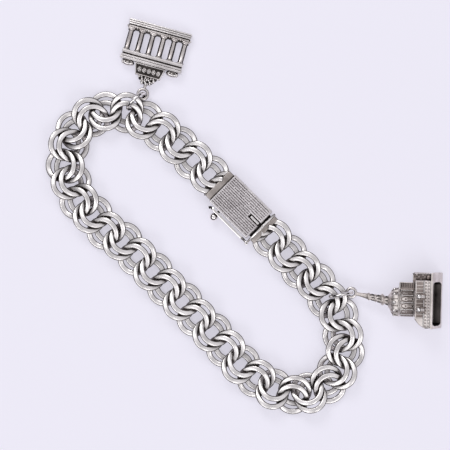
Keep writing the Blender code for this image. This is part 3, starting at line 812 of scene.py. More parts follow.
# Gate charm
def fluted_column(x_from, x_to):
    """Column along X by share of length, share of radius, and whether it is fluted there."""
    span = x_to - x_from
    profile = [
        (0.0, 1.2, 0), (0.03, 1.28, 0), (0.06, 1.22, 0), (0.08, 1.02, 0), (0.1, 0.96, 1), (0.5, 1.0, 1),
        (0.9, 0.92, 1), (0.92, 0.98, 0), (0.94, 1.2, 0), (0.97, 1.28, 0), (1.0, 1.2, 0),
    ]
    rows = []
    for at, share, flute in profile:
        row = []
        for i, (c, s) in enumerate(circle(1.0, COLUMN_ROUND)):
            r = COLUMN_RADIUS * SHAFT_LOOK * share * (1 - FLUTE_DEEP * flute * (i % 4 == 0))
            row.append((x_from + span * at, r * c, r * s))
        rows.append(row)
    return loft(rows)


def lump(form, at, size, mat):
    """A small rounded lump of cast metal."""
    profile = [(sin(a), cos(a)) for a in half_circle(8)]
    move = Matrix.Translation(at) @ Matrix.Diagonal((*size, 1))
    form.add(*turned_body(profile, 12), mat, move=move)


def bead(form, points, radius, mat, sides=6):
    """Thin raised wire along a line of points."""
    path = [Vector(q) for q in points]
    rows = []
    for i, q in enumerate(path):
        way = (path[min(i + 1, len(path) - 1)] - path[max(i - 1, 0)]).normalized()
        side = way.cross(Vector((0, 0, 1)))
        side = side.normalized() if side.length > 0.05 else Vector((0, 1, 0))
        up = side.cross(way)
        rows.append([tuple(q + side * a + up * b) for a, b in circle(radius, sides)])
    form.add(*loft(rows), mat)


def gate_sculpture(form, x_from, x_to):
    """Small worn group on the attic: rows of rounded lumps that draw in toward the eye."""
    for row in range(4):
        share = (row + 0.5) / 4
        x = x_to - (x_to - x_from) * share
        half = SCULPTURE_WIDE / 2 * (1.0 - 0.5 * share) - 0.2
        count = 8 - row
        for i in range(count):
            y = half * (2 * (i + 0.5) / count - 1) + 0.08 * sin(5.0 * i + 3.0 * row)
            size = 0.26 + 0.07 * sin(3.7 * i + 2.1 * row)
            for z in (-1, 1):
                high = 0.42 + 0.1 * sin(2.3 * i + row)
                mat = "dark" if (i * 3 + row * 2) % 5 == 0 else "relief" if (i + row) % 2 else "cast"
                lump(form, (x, y, z * high), (size * 1.15, size, 0.24), mat)


def gate_base(form, x):
    """Stepped base: start, depth and overhang of each step, on a dark core."""
    half = GATE_THICK / 2
    wide = GATE_WIDE / 2
    for start, deep, inset in ((0.0, 0.36, 0.0), (0.42, 0.36, -0.04), (0.84, 0.36, -0.14)):
        form.bar(x - start - deep, x - start, 0, wide + inset, half + inset, 0.09, "cast")
    form.bar(x - GATE_BASE_DEEP, x - 0.1, 0, wide - 0.2, half - 0.2, 0.05, "dark")


def colonnade(form, x):
    """Frieze with its relief, then the columns with capitals and feet; their flanks take the dark material as
    painted shade.
    """
    row = (COLUMN_COUNT - 1) * COLUMN_PITCH + CAPITAL_WIDE
    frieze = CAPITAL_THICK / 2
    capital = CAPITAL_WIDE / 2
    deep = GATE_FRIEZE_DEEP
    places = [(i - (COLUMN_COUNT - 1) / 2) * COLUMN_PITCH for i in range(COLUMN_COUNT)]
    form.bar(x - deep, x + 0.1, 0, row / 2, frieze - 0.05, 0.05, "dark")
    form.bar(x - deep * 0.5, x - deep * 0.12, 0, row / 2, frieze, 0.12, "column", 3)
    for y in places:
        form.bar(x - deep - 0.05, x - deep * 0.55, y, capital, frieze, 0.07, "column")
    for i in range(COLUMN_COUNT - 1):
        y = (i - COLUMN_COUNT / 2 + 1) * COLUMN_PITCH
        for z in (-1, 1):
            for at, size in ((-0.42, 0.2), (0.0, 0.3), (0.42, 0.2)):
                spot = (x - deep * 0.5, y + at, z * frieze * 0.94)
                lump(form, spot, (size, 0.17, 0.1), "column")
    for side in (-1, 1):
        y = side * (row / 2 - 0.25)
        turns = [sin(k) for k in quarter(6)]
        arc = [(x - 0.1 - 0.7 * s, y + side * 0.55 * (1 - s), 0) for s in turns]
        bead(form, arc, 0.34, "column", sides=10)
    x -= deep
    for y in places:
        first = len(form.faces)
        shaft = fluted_column(x - COLUMN_LONG - 0.02, x + 0.05)
        form.add(*shaft, "column", move=Matrix.Translation((0, y, 0)))
        # Faces on the column's flanks take the dark material: painted shade down the sides of each shaft
        for k in range(first, len(form.faces)):
            mid = sum(form.points[j][1] for j in form.faces[k]) / len(form.faces[k])
            if abs(mid - y) > COLUMN_RADIUS * COLUMN_SHADE_FROM:
                form.mats[k] = "dark"
        form.bar(x - COLUMN_LONG - 0.02, x - COLUMN_LONG + 0.16, y, capital, frieze, 0.05, "cast")


def entablature(form, x):
    """Mouldings by start, depth and overhang, and a scrolled wing at either end behind them."""
    wide = ENTABLATURE_WIDE / 2
    thick = ENTABLATURE_THICK / 2
    form.bar(x - 2 * BAND_DEEP, x, 0, wide - 0.2, thick - 0.22, 0.05, "dark")
    for start, deep, grow in ((0.0, 0.68, -0.05), (1.0, 0.44, 0.0), (1.5, 0.58, 0.07)):
        end = x - start
        form.bar(end - deep, end, 0, wide + grow, thick + grow * 0.6, 0.1, "cast", 3)
    x -= 2 * BAND_DEEP + BAND_GROOVE
    for side in (-1, 1):
        near = side * (wide - WING_INSET)
        middle = near - side * WING_WIDE / 2
        for z in (-1, 1):
            # Each layer of the scroll: set back, height, depth, length, rise, surface
            for back, high, deep, long, rise, mat in (
                (0.36, 0.2, 0.66, 0.5, WING_THICK * 0.36, "cast"),
                (0.34, 0.38, 0.42, 0.4, 0.38, "dark"),
                (0.36, 0.44, 0.16, 0.26, 0.34, "column"),
            ):
                lobe = (x - WING_DEEP * back, middle, z * high)
                lump(form, lobe, (WING_DEEP * deep, WING_WIDE * long, rise), mat)
            end = (x - WING_DEEP * 0.4, near - side * 0.36, z * 0.3)
            lump(form, end, (0.46, 0.36, 0.4), "cast")


def gate():
    form = Form()
    x = GATE_LONG
    gate_base(form, x)
    x -= GATE_BASE_DEEP
    colonnade(form, x)
    x = x - GATE_FRIEZE_DEEP - COLUMN_LONG
    entablature(form, x)
    x -= 2 * BAND_DEEP + BAND_GROOVE
    attic_panel(form, x)
    x -= ATTIC_DEEP
    rows = []
    corners = ((-1, -0.42), (1, -0.42), (1, 0.42), (-1, 0.42))
    for at, k in ((x + 0.1, 0.92), (x - SCULPTURE_DEEP * 0.9, 0.45)):
        rows.append([(at, SCULPTURE_WIDE / 2 * k * a, b) for a, b in corners])
    form.add(*loft(rows), "dark", smooth=False)
    gate_sculpture(form, x - SCULPTURE_DEEP, x)
    x -= SCULPTURE_DEEP
    # Stem to the eye: place, half width, half height
    stem = [(GATE_EYE_RADIUS + 0.1, 0.3, 0.3), (1.7, 0.36, 0.32), (x + 0.2, 0.5, 0.4), (x + 0.9, 0.6, 0.5)]
    rows = [[(at, a * w, b * h) for a, b in circle(1.0, 16)] for at, w, h in stem]
    form.add(*loft(rows), "cast")
    form.add(*round_ring(GATE_EYE_RADIUS, EYE_WIRE_RADIUS, 48, 16), "cast")
    dip = math.asin((GATE_EYE_AT[2] - GATE_THICK / 2) / GATE_LONG)
    place = place_at(*GATE_EYE_AT, math.radians(GATE_HEADING)) @ Matrix.Rotation(dip, 4, "Y")
    obj = form.build("gate_charm_piece", place)
    smooth_edges(obj, 50)
    tell(obj, "gate_charm")


def attic_panel(form, x):
    """Tapering attic block: dark field, raised frame and a row of round rosettes."""
    end = x - ATTIC_DEEP
    w0, w1 = ATTIC_WIDE / 2, ATTIC_END_WIDE / 2
    t = ATTIC_THICK / 2
    outline = [(x + 0.1, -w0), (x + 0.1, w0), (end, w1), (end, -w1)]
    rows = []
    for z, k in ((-t + 0.16, 0.97), (-t + 0.2, 0.985), (t - 0.2, 0.985), (t - 0.16, 0.97)):
        mid = (x + end) / 2
        rows.append([(mid + (px - mid) * k, py * k, z) for px, py in outline[::-1]])
    form.add(*loft(rows), "dark", smooth=False)
    form.bar(x - 0.2, x, 0, w0, t, 0.09, "cast")
    form.bar(end, end + 0.22, 0, w1, t - 0.05, 0.09, "column")
    rim = ATTIC_RIM
    section = rounded(rim, t, 0.1)
    for side in (-1, 1):
        ends = ((x, side * (w0 - rim)), (end, side * (w1 - rim)))
        form.add(*loft([[(px, py + a, b) for a, b in section] for px, py in ends]), "cast")
    count = ROSETTE_COUNT
    inner = (w0 + w1) / 2 - 0.45
    middle = (x + end) / 2
    for i in range(count):
        y = (i - (count - 1) / 2) * 2 * inner / count
        for z in (-1, 1):
            lump(form, (middle, y, z * (t - 0.16)), (0.6, 0.5, 0.12), "column")
            for c, s in circle(1.0, 8):
                petal = (middle + 0.4 * c, y + 0.33 * s, z * (t - 0.1))
                lump(form, petal, (0.17, 0.14, 0.14), "relief")
            lump(form, (middle, y, z * (t - 0.06)), (0.2, 0.17, 0.12), "relief")


# Cathedral charm
def tower_aside(x):
    tower_to = CATHEDRAL_LONG - NAVE_LONG + TOWER_INTO_NAVE
    return TOWER_ASIDE * min(1.0, x / (tower_to * TOWER_LEAN_SHARE))


def on_tower(x, radius, turn):
    """A point at x along the tower, turned about its axis; a quarter turn is uppermost."""
    return (x, tower_aside(x) + radius * cos(turn), radius * sin(turn) * TOWER_FLATTEN)


def tower(form):
    """Spire with collars, ribbed dome and drum: kind of surface, shares of length and radius."""
    span = CATHEDRAL_LONG - NAVE_LONG + TOWER_INTO_NAVE - TOWER_FROM
    profile = [
        ("plain", [
            (0.0, 0.13), (0.06, 0.14), (0.13, 0.18), (0.185, 0.22),
            (0.195, 0.27), (0.21, 0.28), (0.225, 0.22),
        ]),
        ("fluted", [(0.24, 0.23), (0.3, 0.25)]),
        ("plain", [(0.31, 0.3), (0.32, 0.3), (0.33, 0.24)]),
        ("fluted", [(0.34, 0.25), (0.4, 0.31)]),
        ("plain", [(0.412, 0.4), (0.43, 0.42), (0.445, 0.36), (0.46, 0.3)]),
        ("fluted", [(0.475, 0.3), (0.515, 0.34)]),
        ("plain", [(0.525, 0.46), (0.54, 0.5)]),
        ("ribbed", [
            (0.55, 0.58), (0.565, 0.72), (0.585, 0.85),
            (0.61, 0.94), (0.64, 0.985), (0.68, 1.0),
        ]),
        ("plain", [
            (0.687, 1.04), (0.7, 1.05), (0.71, 0.97), (0.72, 0.96),
            (0.93, 0.95), (0.94, 1.02), (0.965, 1.05), (1.0, 1.04),
        ]),
    ]
    n = TOWER_ROUND
    surface = {
        "plain": [1.0] * n,
        "ribbed": [1.02 if i % 4 == 0 else 0.955 for i in range(n)],
        "fluted": [1.0 if i % 8 < 5 else 0.84 for i in range(n)],
    }
    rows = []
    for kind, points in profile:
        for at, share in points:
            x, r = TOWER_FROM + at * span, TOWER_RADIUS * share
            rows.append([on_tower(x, r * k, 2 * pi * i / n) for i, k in enumerate(surface[kind])])
    form.add(*loft(rows), "warm")
    drum = [TOWER_FROM + at * span for at in DRUM_SHARES]
    seam = ((0.572, 0.77), (0.6, 0.9), (0.64, 0.965), (0.676, 0.98))
    for i in range(DRUM_BAYS):
        turn = 2 * pi * i / DRUM_BAYS
        middle = 2 * pi * (i + 0.5) / DRUM_BAYS
        drum_bay(form, *drum, middle, pi / DRUM_BAYS)
        pier = [on_tower(x, TOWER_RADIUS * 0.985, turn) for x in drum]
        bead(form, pier, 0.11, "pale", sides=8)
        line = [on_tower(TOWER_FROM + at * span, TOWER_RADIUS * k, middle) for at, k in seam]
        bead(form, line, 0.07, "brown")
    for start, long, share in ((0.248, 0.045, 0.235), (0.345, 0.05, 0.275), (0.48, 0.035, 0.32)):
        for i in range(6):
            turn = pi * (i + 0.5) / 3
            ends = (TOWER_FROM + start * span, TOWER_FROM + (start + long) * span)
            bead(form, [on_tower(x, TOWER_RADIUS * share, turn) for x in ends], 0.11, "dark")
    for i in range(5):
        turn = pi * (i + 0.5) / 5
        at = on_tower(TOWER_FROM + 0.625 * span, TOWER_RADIUS * 0.97, turn)
        lump(form, at, (0.42, 0.3, 0.24), "pale")
        lump(form, (at[0] + 0.1, at[1], at[2] + 0.14), (0.16, 0.12, 0.12), "dark")


def drum_bay(form, x0, x1, turn, half):
    """Pointed arch with a mullioned window in one bay of the drum."""
    radius = TOWER_RADIUS * 0.97
    reach = half * 0.68
    spring = x0 + (x1 - x0) * 0.5
    left = [on_tower(x1, radius, turn - reach)]
    right = [on_tower(x1, radius, turn + reach)]
    for k in quarter(5):
        x = spring - (spring - x0 - 0.2) * sin(k)
        left.append(on_tower(x, radius, turn - reach * cos(k)))
        right.append(on_tower(x, radius, turn + reach * cos(k)))
    for line in (left, right):
        bead(form, line, 0.09, "brown")
    for share in (-0.4, 0.4):
        pane = [on_tower(x, radius * 0.985, turn + reach * share) for x in (x1 - 0.15, spring + 0.1)]
        bead(form, pane, 0.12, "brown")
    lump(form, on_tower(spring - 0.25, radius * 0.985, turn), (0.2, 0.2, 0.16), "brown")
    lump(form, on_tower(x1 - 0.2, radius * 0.985, turn), (0.13, 0.2, 0.17), "dark")
    for share in (0.6, -0.6):
        lump(form, on_tower(x0 + 0.12, radius, turn + half * share), (0.09, 0.16, 0.16), "pale")


def nave_solid(x0, x1):
    """Body of the church, with one shoulder sloped off."""
    e = NAVE_EDGE
    outline = [
        (x0, NAVE_LOW_SIDE + NAVE_SHOULDER),
        (x0 + NAVE_SHOULDER * 0.45, NAVE_LOW_SIDE + NAVE_SHOULDER * 0.42),
        (x0 + NAVE_SHOULDER, NAVE_LOW_SIDE + 0.2),
        (x1, NAVE_LOW_SIDE + 0.2),
        (x1, NAVE_HIGH_SIDE),
        (x0, NAVE_HIGH_SIDE),
    ]
    mid = ((x0 + x1) / 2, (NAVE_LOW_SIDE + NAVE_HIGH_SIDE) / 2)
    pairs = [(NAVE_BOTTOM, e), (NAVE_BOTTOM + e, 0.0), (NAVE_TOP - e, 0.0), (NAVE_TOP, e)]
    points, faces = loft(inset_rows(outline, mid, pairs))
    lean = NAVE_END_LEAN / (NAVE_TOP - NAVE_BOTTOM)
    points = [(x + (NAVE_TOP - z) * lean * (x > x1 - 1), y, z) for x, y, z in points]
    return points, faces


def plinth_solid():
    """Base band that slants so that its open mouth shows from above."""
    x1 = CATHEDRAL_LONG
    side = [
        (x1 - MOUTH_SLANT, PLINTH_TOP),
        (x1 - MOUTH_SLANT - MOUTH_RIM, PLINTH_TOP),
        (x1 - MOUTH_SLANT - MOUTH_RIM, NAVE_TOP - 0.2),
        (x1 - PLINTH_DEEP, PLINTH_BOTTOM),
        (x1, PLINTH_BOTTOM),
    ]
    y0, y1, edge = NAVE_LOW_SIDE, AISLE_TO_SIDE, PLINTH_EDGE
    rows = []
    for y, k in ((y0, edge), (y0 + edge, 0.0), (y1 - edge, 0.0), (y1, edge)):
        row = []
        for i, (x, z) in enumerate(side):
            inward = 1 if i in (1, 2, 3) else -1
            row.append((x + inward * k, y, z - math.copysign(k, z)))
        rows.append(row)
    return loft(rows)


def mouth_cutter(z0, z1):
    """Hollow of the church: a long hole with rounded corners that narrows behind the sloped shoulder."""
    start = CATHEDRAL_LONG - NAVE_LONG + TOWER_INTO_NAVE + 0.12
    corner_y, corner_z = MOUTH_CORNER
    rows = []
    for x, y0 in (
        (start, MOUTH_SIDES[0] + MOUTH_NARROWS[1]),
        (start + MOUTH_NARROWS[0], MOUTH_SIDES[0]),
        (CATHEDRAL_LONG + 2, MOUTH_SIDES[0]),
    ):
        y1 = MOUTH_SIDES[1]
        row = []
        for a, b in circle(1.0, 48):
            y = (y0 + y1) / 2 + math.copysign((y1 - y0) / 2 - corner_y, a) + corner_y * a
            z = (z0 + z1) / 2 + math.copysign((z1 - z0) / 2 - corner_z, b) + corner_z * b
            row.append((x, y, z))
        rows.append(row)
    form = Form()
    form.add(*loft(rows), "dark")
    return form


def nave_face(form, x0):
    """Windows, cornices, pilasters and two domed dormers on the side that lies uppermost."""
    y0, y1 = NAVE_LOW_SIDE + 0.35, NAVE_HIGH_SIDE - 0.08
    z = NAVE_TOP
    mouth = CATHEDRAL_LONG - MOUTH_SLANT - MOUTH_RIM
    line = mouth - 1.3
    form.block((line, y0, z - 0.3), (mouth + 0.05, y1, z + 0.04), 0.05, "warm")
    for at, deep, up in ((line - 0.3, 0.2, 0.16), (line + 0.62, 0.1, 0.1), (mouth - 0.12, 0.2, 0.16)):
        form.block((at, y0 - 0.05, z - 0.3), (at + deep, y1, z + up), 0.05, "pale")
    pitch = (y1 - y0) / WINDOW_COUNT
    for i in range(WINDOW_COUNT):
        y = y0 + pitch * (i + 0.5)
        half, aside = pitch * 0.17, y - pitch * 0.26
        for x, long in ((line + 0.08, 0.44), (line + 0.78, 0.3)):
            high = (x + long * 0.7, y + half, z + 0.055)
            form.block((x, y - half, z - 0.2), high, 0.02, "brown")
            bead(form, [(x - 0.03, aside, z + 0.05), (x + long, aside, z + 0.05)], 0.05, "pale")
    # Brown block between the dormers and the windows: painted shade on the roof
    shade = (x0 + 0.1, y0 + NAVE_SHOULDER, z - 0.2)
    form.block(shade, (line - 0.3, y1, z + 0.02), 0.05, "brown")
    for i in range(11):
        y = y0 + NAVE_SHOULDER + 0.1 + (y1 - y0 - NAVE_SHOULDER - 0.3) * i / 10
        bead(form, [(x0 + 0.12, y, z), (line - 0.35, y, z)], 0.11, "warm", sides=8)
    form.block((x0 + 0.05, y0 + NAVE_SHOULDER - 0.2, z - 0.2), (x0 + 0.3, y1, z + 0.1), 0.05, "warm")
    for y in DORMERS_AT:
        dormer(form, x0 + DORMER_BACK, y, z)


def dormer(form, x, y, z):
    """Domed dormer: bright half-round hood before a narrower roof, with painted shade on its sides."""
    r = DORMER_RADIUS * 0.92
    lump(form, (x, y, z - 0.1), (r, r, DORMER_RISE + 0.2), "relief")
    low = (x + r * 0.2, y - r * 1.05, z - 0.2)
    form.block(low, (x + r * 2.0, y + r * 1.05, z + DORMER_RISE * 0.55), 0.1, "brown", 3)
    low = (x + r * 0.1, y - r * 0.5, z - 0.2)
    form.block(low, (x + r * 1.9, y + r * 0.5, z + DORMER_RISE * 0.75), 0.12, "pale", 3)


def side_blocks(form, x0, x1):
    """Lower roofs on the far side, dark with painted shade, with scrolled relief, a pale ridge and a
    pinnacle.
    """
    y0, y1 = NAVE_HIGH_SIDE - 0.5, AISLE_TO_SIDE - 0.2
    left = x0 - AISLE_BEFORE_NAVE
    top = AISLE_TOP
    form.block((left, y0, NAVE_BOTTOM + 0.3), (x1, y1, top), 0.15, "brown", 3)
    for i in range(9):
        x = left + 0.35 + i * 0.44
        for j, y in enumerate((y0 + 0.75, y0 + 1.2, y0 + 1.6)):
            turns = half_circle(5)
            curl = [(x + 0.14 * cos(a), y + 0.13 * sin(a + j), top + 0.02) for a in turns]
            bead(form, curl, 0.07, "dark" if (i + j) % 3 else "warm")
    form.block((left + 0.1, y1 - 0.16, top - 0.4), (x1, y1 + 0.02, top + 0.1), 0.07, "pale")
    lump(form, (x1 - 0.65, y0 + 1.1, top - 0.05), (0.75, 0.72, 0.4), "brown")
    tip = [(-0.62, 0.03), (-0.2, 0.13), (-0.12, 0.24), (0.0, 0.26), (0.1, 0.17), (0.55, 0.22)]
    at = Matrix.Translation((left + 0.45, y1 - 0.12, top))
    form.add(*turned_body(tip, 14), "pale", move=at)
    form.block((left - 0.02, y0 + 0.5, -1.5), (left + 0.14, y1 - 0.3, top + 0.06), 0.06, "pale")
    x = x0 - PORCH_LONG
    side, top = PORCH_TO_SIDE, PORCH_TOP
    form.block((x, side - PORCH_WIDE, NAVE_BOTTOM + 1.2), (x0 + 0.3, side, top), 0.12, "brown", 3)
    for i in range(8):
        for j in range(3):
            y = side - 0.25 - j * 0.36
            ends = ((x + 0.4 + i * 0.4, y - 0.12, top + 0.02), (x + 0.52 + i * 0.4, y + 0.12, top + 0.02))
            bead(form, ends, 0.08, "dark")
    form.block((x - 0.05, side - 1.5, 0.2), (x + 0.25, side + 0.05, top + 0.12), 0.08, "pale")
    form.block((x, side - 0.1, 0.6), (x0, side + 0.04, top + 0.08), 0.05, "warm")


def outer_walls(form, x0, x1):
    """Rows of tall windows and buttresses round the sides and the underside."""
    z = NAVE_BOTTOM + 0.1
    for i in range(12):
        y = NAVE_LOW_SIDE + NAVE_SHOULDER + 0.4 + i * 0.62
        form.block((x0 + 0.5, y - 0.14, z - 0.16), (x1 - 1.2, y + 0.14, z + 0.1), 0.05, "warm")
        form.block((x0 + 0.9, y + 0.2, z - 0.12), (x0 + 1.9, y + 0.4, z + 0.1), 0.04, "dark")
    for i in range(7):
        z = NAVE_BOTTOM + 0.9 + i * 0.9
        if z < NAVE_TOP - 0.4:
            y = NAVE_LOW_SIDE + 0.2
            bead(form, [(x0 + NAVE_SHOULDER + 0.1, y, z), (x1 - 0.4, y, z)], 0.1, "warm", sides=8)
            low = (x0 + NAVE_SHOULDER + 0.3, y - 0.04, z + 0.28)
            form.block(low, (x1 - 0.7, y + 0.1, z + 0.62), 0.04, "dark")
            y = AISLE_TO_SIDE - 0.2
            if z < AISLE_TOP - 0.4:
                bead(form, [(x0 - 0.4, y, z), (x1 - 0.4, y, z)], 0.1, "warm", sides=8)
                form.block((x0 - 0.2, y - 0.1, z + 0.28), (x1 - 0.7, y + 0.05, z + 0.6), 0.04, "dark")


def cathedral():
    x0 = CATHEDRAL_LONG - NAVE_LONG
    x1 = CATHEDRAL_LONG - PLINTH_SLANT - PLINTH_DEEP / 2
    rise = Matrix.Rotation(-math.radians(CATHEDRAL_RISE), 4, "Y")
    place = place_at(*CATHEDRAL_EYE_AT, math.radians(CATHEDRAL_HEADING)) @ rise
    hollow = (NAVE_BOTTOM + 0.2, NAVE_TOP - 0.15)
    wide = (NAVE_BOTTOM + 0.2, PLINTH_TOP - 0.3)
    for name, solid, span in (
        ("cathedral_nave", nave_solid(x0, x1), hollow),
        ("cathedral_plinth", plinth_solid(), wide),
    ):
        form = Form()
        form.add(*solid, "warm", smooth=False)
        # The cutter's dark material goes onto the cut faces: painted shade on the hollow's inner walls
        obj = form.build(name, place, ("warm", "dark"))
        cutter = mouth_cutter(*span).build(name + "_cut", place, ("warm", "dark"))
        for body in (obj, cutter):
            fix_normals(body)
        baked(obj, cutter, bevel=0.07)
        smooth_edges(obj)
        tell(obj, "cathedral_charm")
    form = Form()
    tower(form)
    nave_face(form, x0)
    side_blocks(form, x0, x1)
    outer_walls(form, x0, x1)
    form.add(*round_ring(CATHEDRAL_EYE_RADIUS, EYE_WIRE_RADIUS, 48, 16), "pale")
    obj = form.build("cathedral_relief", place)
    smooth_edges(obj, 50)
    tell(obj, "cathedral_charm")


def fix_normals(obj):
    bm = bmesh.new()
    bm.from_mesh(obj.data)
    bmesh.ops.recalc_face_normals(bm, faces=bm.faces)
    bm.to_mesh(obj.data)
    bm.free()


# Materials: noise in waves per metre, depths in metres
CLOUD_SCALE = 260.0
DRIFT_SCALE = 900.0
SCRATCH_SCALE, SCRATCH_DEEP = 1500.0, 0.00002
DENT_SCALE, DENT_DEEP = 420.0, 0.00008
PIT_SCALE, PIT_DEEP = 2600.0, 0.00006


def nodes_of(name):
    mat = bpy.data.materials.new(name)
    mat.use_nodes = True
    tree = mat.node_tree
    shader = tree.nodes["Principled BSDF"]
    shader.inputs["Metallic"].default_value = 1.0
    return mat, tree, shader


def add(tree, kind, **values):
    node = tree.nodes.new(kind)
    for key, value in values.items():
        if key in node.inputs:
            node.inputs[key].default_value = value
        else:
            setattr(node, key, value)
    return node


def ramp(tree, source, stops):
    node = tree.nodes.new("ShaderNodeValToRGB")
    cr = node.color_ramp
    while len(cr.elements) < len(stops):
        cr.elements.new(0.5)
    for element, (at, colour) in zip(cr.elements, stops):
        element.position = at
        element.color = (*colour, 1)
    tree.links.new(source, node.inputs[0])
    return node


def silver(name, light, dark, rough, grain=1.0, pits=0.0, oxide_and_shade=0.8, reach=1.6, occlusion_shade_range=(0.3, 0.85)):
    """Worn silver: tone and roughness drift, fine scratches, soft dents, and painted shade from ambient
    occlusion that blackens hollows, wire sides near the floor and gaps between parts, standing partly for
    real oxide in the hollows.
    """
    mat, tree, shader = nodes_of(name)
    link = tree.links.new
    where = tree.nodes.new("ShaderNodeNewGeometry").outputs["Position"]

    def noise(scale, detail, coarse=0.5, at=where):
        node = add(tree, "ShaderNodeTexNoise", Scale=scale, Detail=detail, Roughness=coarse)
        link(at, node.inputs["Vector"])
        return node.outputs["Fac"]

    def bump(height, strength, distance, below=None):
        node = add(tree, "ShaderNodeBump", Strength=strength, Distance=distance)
        link(height, node.inputs["Height"])
        if below is not None:
            link(below, node.inputs["Normal"])
        return node.outputs["Normal"]

    tone = ramp(tree, noise(CLOUD_SCALE, 4.0, 0.6), [(0.32, dark), (0.62, light)])
    # Ambient occlusion mixes a near-black into the colour: painted shade under and between parts, partly
    # standing for oxide in the hollows
    hollow = add(tree, "ShaderNodeAmbientOcclusion", samples=6, inside=False)
    hollow.inputs["Distance"].default_value = reach * MM
    shade = ramp(tree, hollow.outputs["AO"], [(occlusion_shade_range[0], (0.0, 0.0, 0.0)), (occlusion_shade_range[1], (1.0, 1.0, 1.0))])
    mix = add(tree, "ShaderNodeMix", data_type="RGBA")
    mix.inputs[6].default_value = (*[c * (1 - oxide_and_shade) * w for c, w in zip(dark, (1.0, 0.86, 0.8))], 1)
    link(shade.outputs["Color"], mix.inputs[0])
    link(tone.outputs["Color"], mix.inputs[7])
    link(mix.outputs[2], shader.inputs["Base Color"])
    spread = add(tree, "ShaderNodeMapRange")
    spread.inputs["To Min"].default_value = rough * 0.75
    spread.inputs["To Max"].default_value = rough * 1.35
    link(noise(DRIFT_SCALE, 3.0, 0.55), spread.inputs["Value"])
    link(spread.outputs["Result"], shader.inputs["Roughness"])
    stretch = add(tree, "ShaderNodeMapping")
    stretch.inputs["Scale"].default_value = (1.0, 7.0, 3.0)
    stretch.inputs["Rotation"].default_value = (0.0, 0.0, 0.7)
    link(where, stretch.inputs["Vector"])
    scratch = noise(SCRATCH_SCALE, 2.0, at=stretch.outputs["Vector"])
    normal = bump(scratch, 0.1 * grain, SCRATCH_DEEP)
    normal = bump(noise(DENT_SCALE, 1.0), 0.2 * grain, DENT_DEEP, normal)
    if pits:
        cells = add(tree, "ShaderNodeTexVoronoi", Scale=PIT_SCALE)
        link(where, cells.inputs["Vector"])
        normal = bump(cells.outputs["Distance"], pits, PIT_DEEP, normal)
    link(normal, shader.inputs["Normal"])
    return mat


def cast_look(grain, pits, oxide_and_shade, reach):
    return {"grain": grain, "pits": pits, "oxide_and_shade": oxide_and_shade, "reach": reach}


PALE, GREY = (0.93, 0.9, 0.89), (0.74, 0.71, 0.7)
FINE = {"grain": 0.8, "reach": 0.3}

# Name, light tone, dark tone and roughness, then what differs from plain silver
LOOKS = {
    "wire": ("wire_silver", PALE, GREY, 0.28, {"oxide_and_shade": 0.9, "occlusion_shade_range": (0.42, 0.93)}),
    # Dark wire flanks: painted shade on the wire's sides, partly standing for tarnish
    "flank": ("wire_flanks", (0.23, 0.2, 0.187), (0.1, 0.086, 0.08), 0.34, {"oxide_and_shade": 0.7, "reach": 1.0}),
    "solder": ("solder_silver", (0.58, 0.53, 0.5), (0.32, 0.285, 0.265), 0.36, {"grain": 1.5, "reach": 1.2}),
    "satin": ("clasp_silver", (0.7, 0.66, 0.66), (0.52, 0.49, 0.49), 0.3, {"oxide_and_shade": 0.7}),
    "bright": ("bright_silver_wire", PALE, GREY, 0.15, {"grain": 0.8, "oxide_and_shade": 0.85, "reach": 1.0}),
    "engraved": ("engraved_silver", (0.9, 0.86, 0.87), (0.68, 0.64, 0.65), 0.28, {**FINE, "oxide_and_shade": 0.7}),
    "groove": ("engraved_groove", (0.55, 0.505, 0.51), (0.3, 0.275, 0.275), 0.34, FINE),
    # Near-black silver: real oxide in recesses, and painted shade on box interiors, column flanks, joints and
    # the church's hollow
    "dark": ("oxidised_silver", (0.1, 0.088, 0.083), (0.03, 0.026, 0.025), 0.45, {"grain": 1.2}),
    "cast": ("cast_silver_gate", (0.9, 0.86, 0.85), (0.7, 0.66, 0.65), 0.26, cast_look(0.4, 0.03, 0.92, 0.9)),
    # Column silver, darker than the cast silver: painted shade on the recessed columns and frieze
    "column": ("column_silver", (0.82, 0.77, 0.75), (0.5, 0.455, 0.44), 0.26, cast_look(1.0, 0.05, 0.9, 0.9)),
    "warm": (
        "cast_silver_cathedral", (0.9, 0.84, 0.81), (0.6, 0.54, 0.51), 0.48, cast_look(1.6, 0.3, 0.9, 0.8),
    ),
    # Brown silver: painted shade on the church's low roofs, porch, dormer sides, arch lines and window
    # recesses
    "brown": (
        "shaded_silver", (0.4, 0.34, 0.315), (0.2, 0.165, 0.15), 0.38, cast_look(1.2, 0.15, 0.9, 0.9),
    ),
    "pale": ("rubbed_silver", (0.92, 0.88, 0.86), (0.66, 0.61, 0.6), 0.22, cast_look(1.0, 0.1, 0.9, 0.8)),
    "relief": ("rubbed_relief", (0.96, 0.93, 0.92), (0.82, 0.79, 0.78), 0.26, {**FINE, "oxide_and_shade": 0.6}),
}
MATS = {key: silver(*look[:-1], **look[-1]) for key, look in LOOKS.items()}


def dress_frame():
    looks = {"gate_charm": "cast", "cathedral_charm": "warm", "safety_catch": "bright"}
    for node, obj in frame["nodes"].items():
        key = looks.get(node, "bright" if "jump_ring" in node else "satin")
        obj.data.materials.clear()
        obj.data.materials.append(MATS[key])


# Stage: lengths in metres
WORLD_STRENGTH = 0.95
SKY_LEAN = 0.12
FLOOR_COLOUR = (0.42, 0.410, 0.458)
FLOOR_GLOW = 1.2
FLOOR_HALF = 1.2
FLOOR_DROP = 0.00002
CAMERA_HEIGHT = 0.42
CAMERA_SPAN = 0.099
SPAN_LEVEL = 0.002


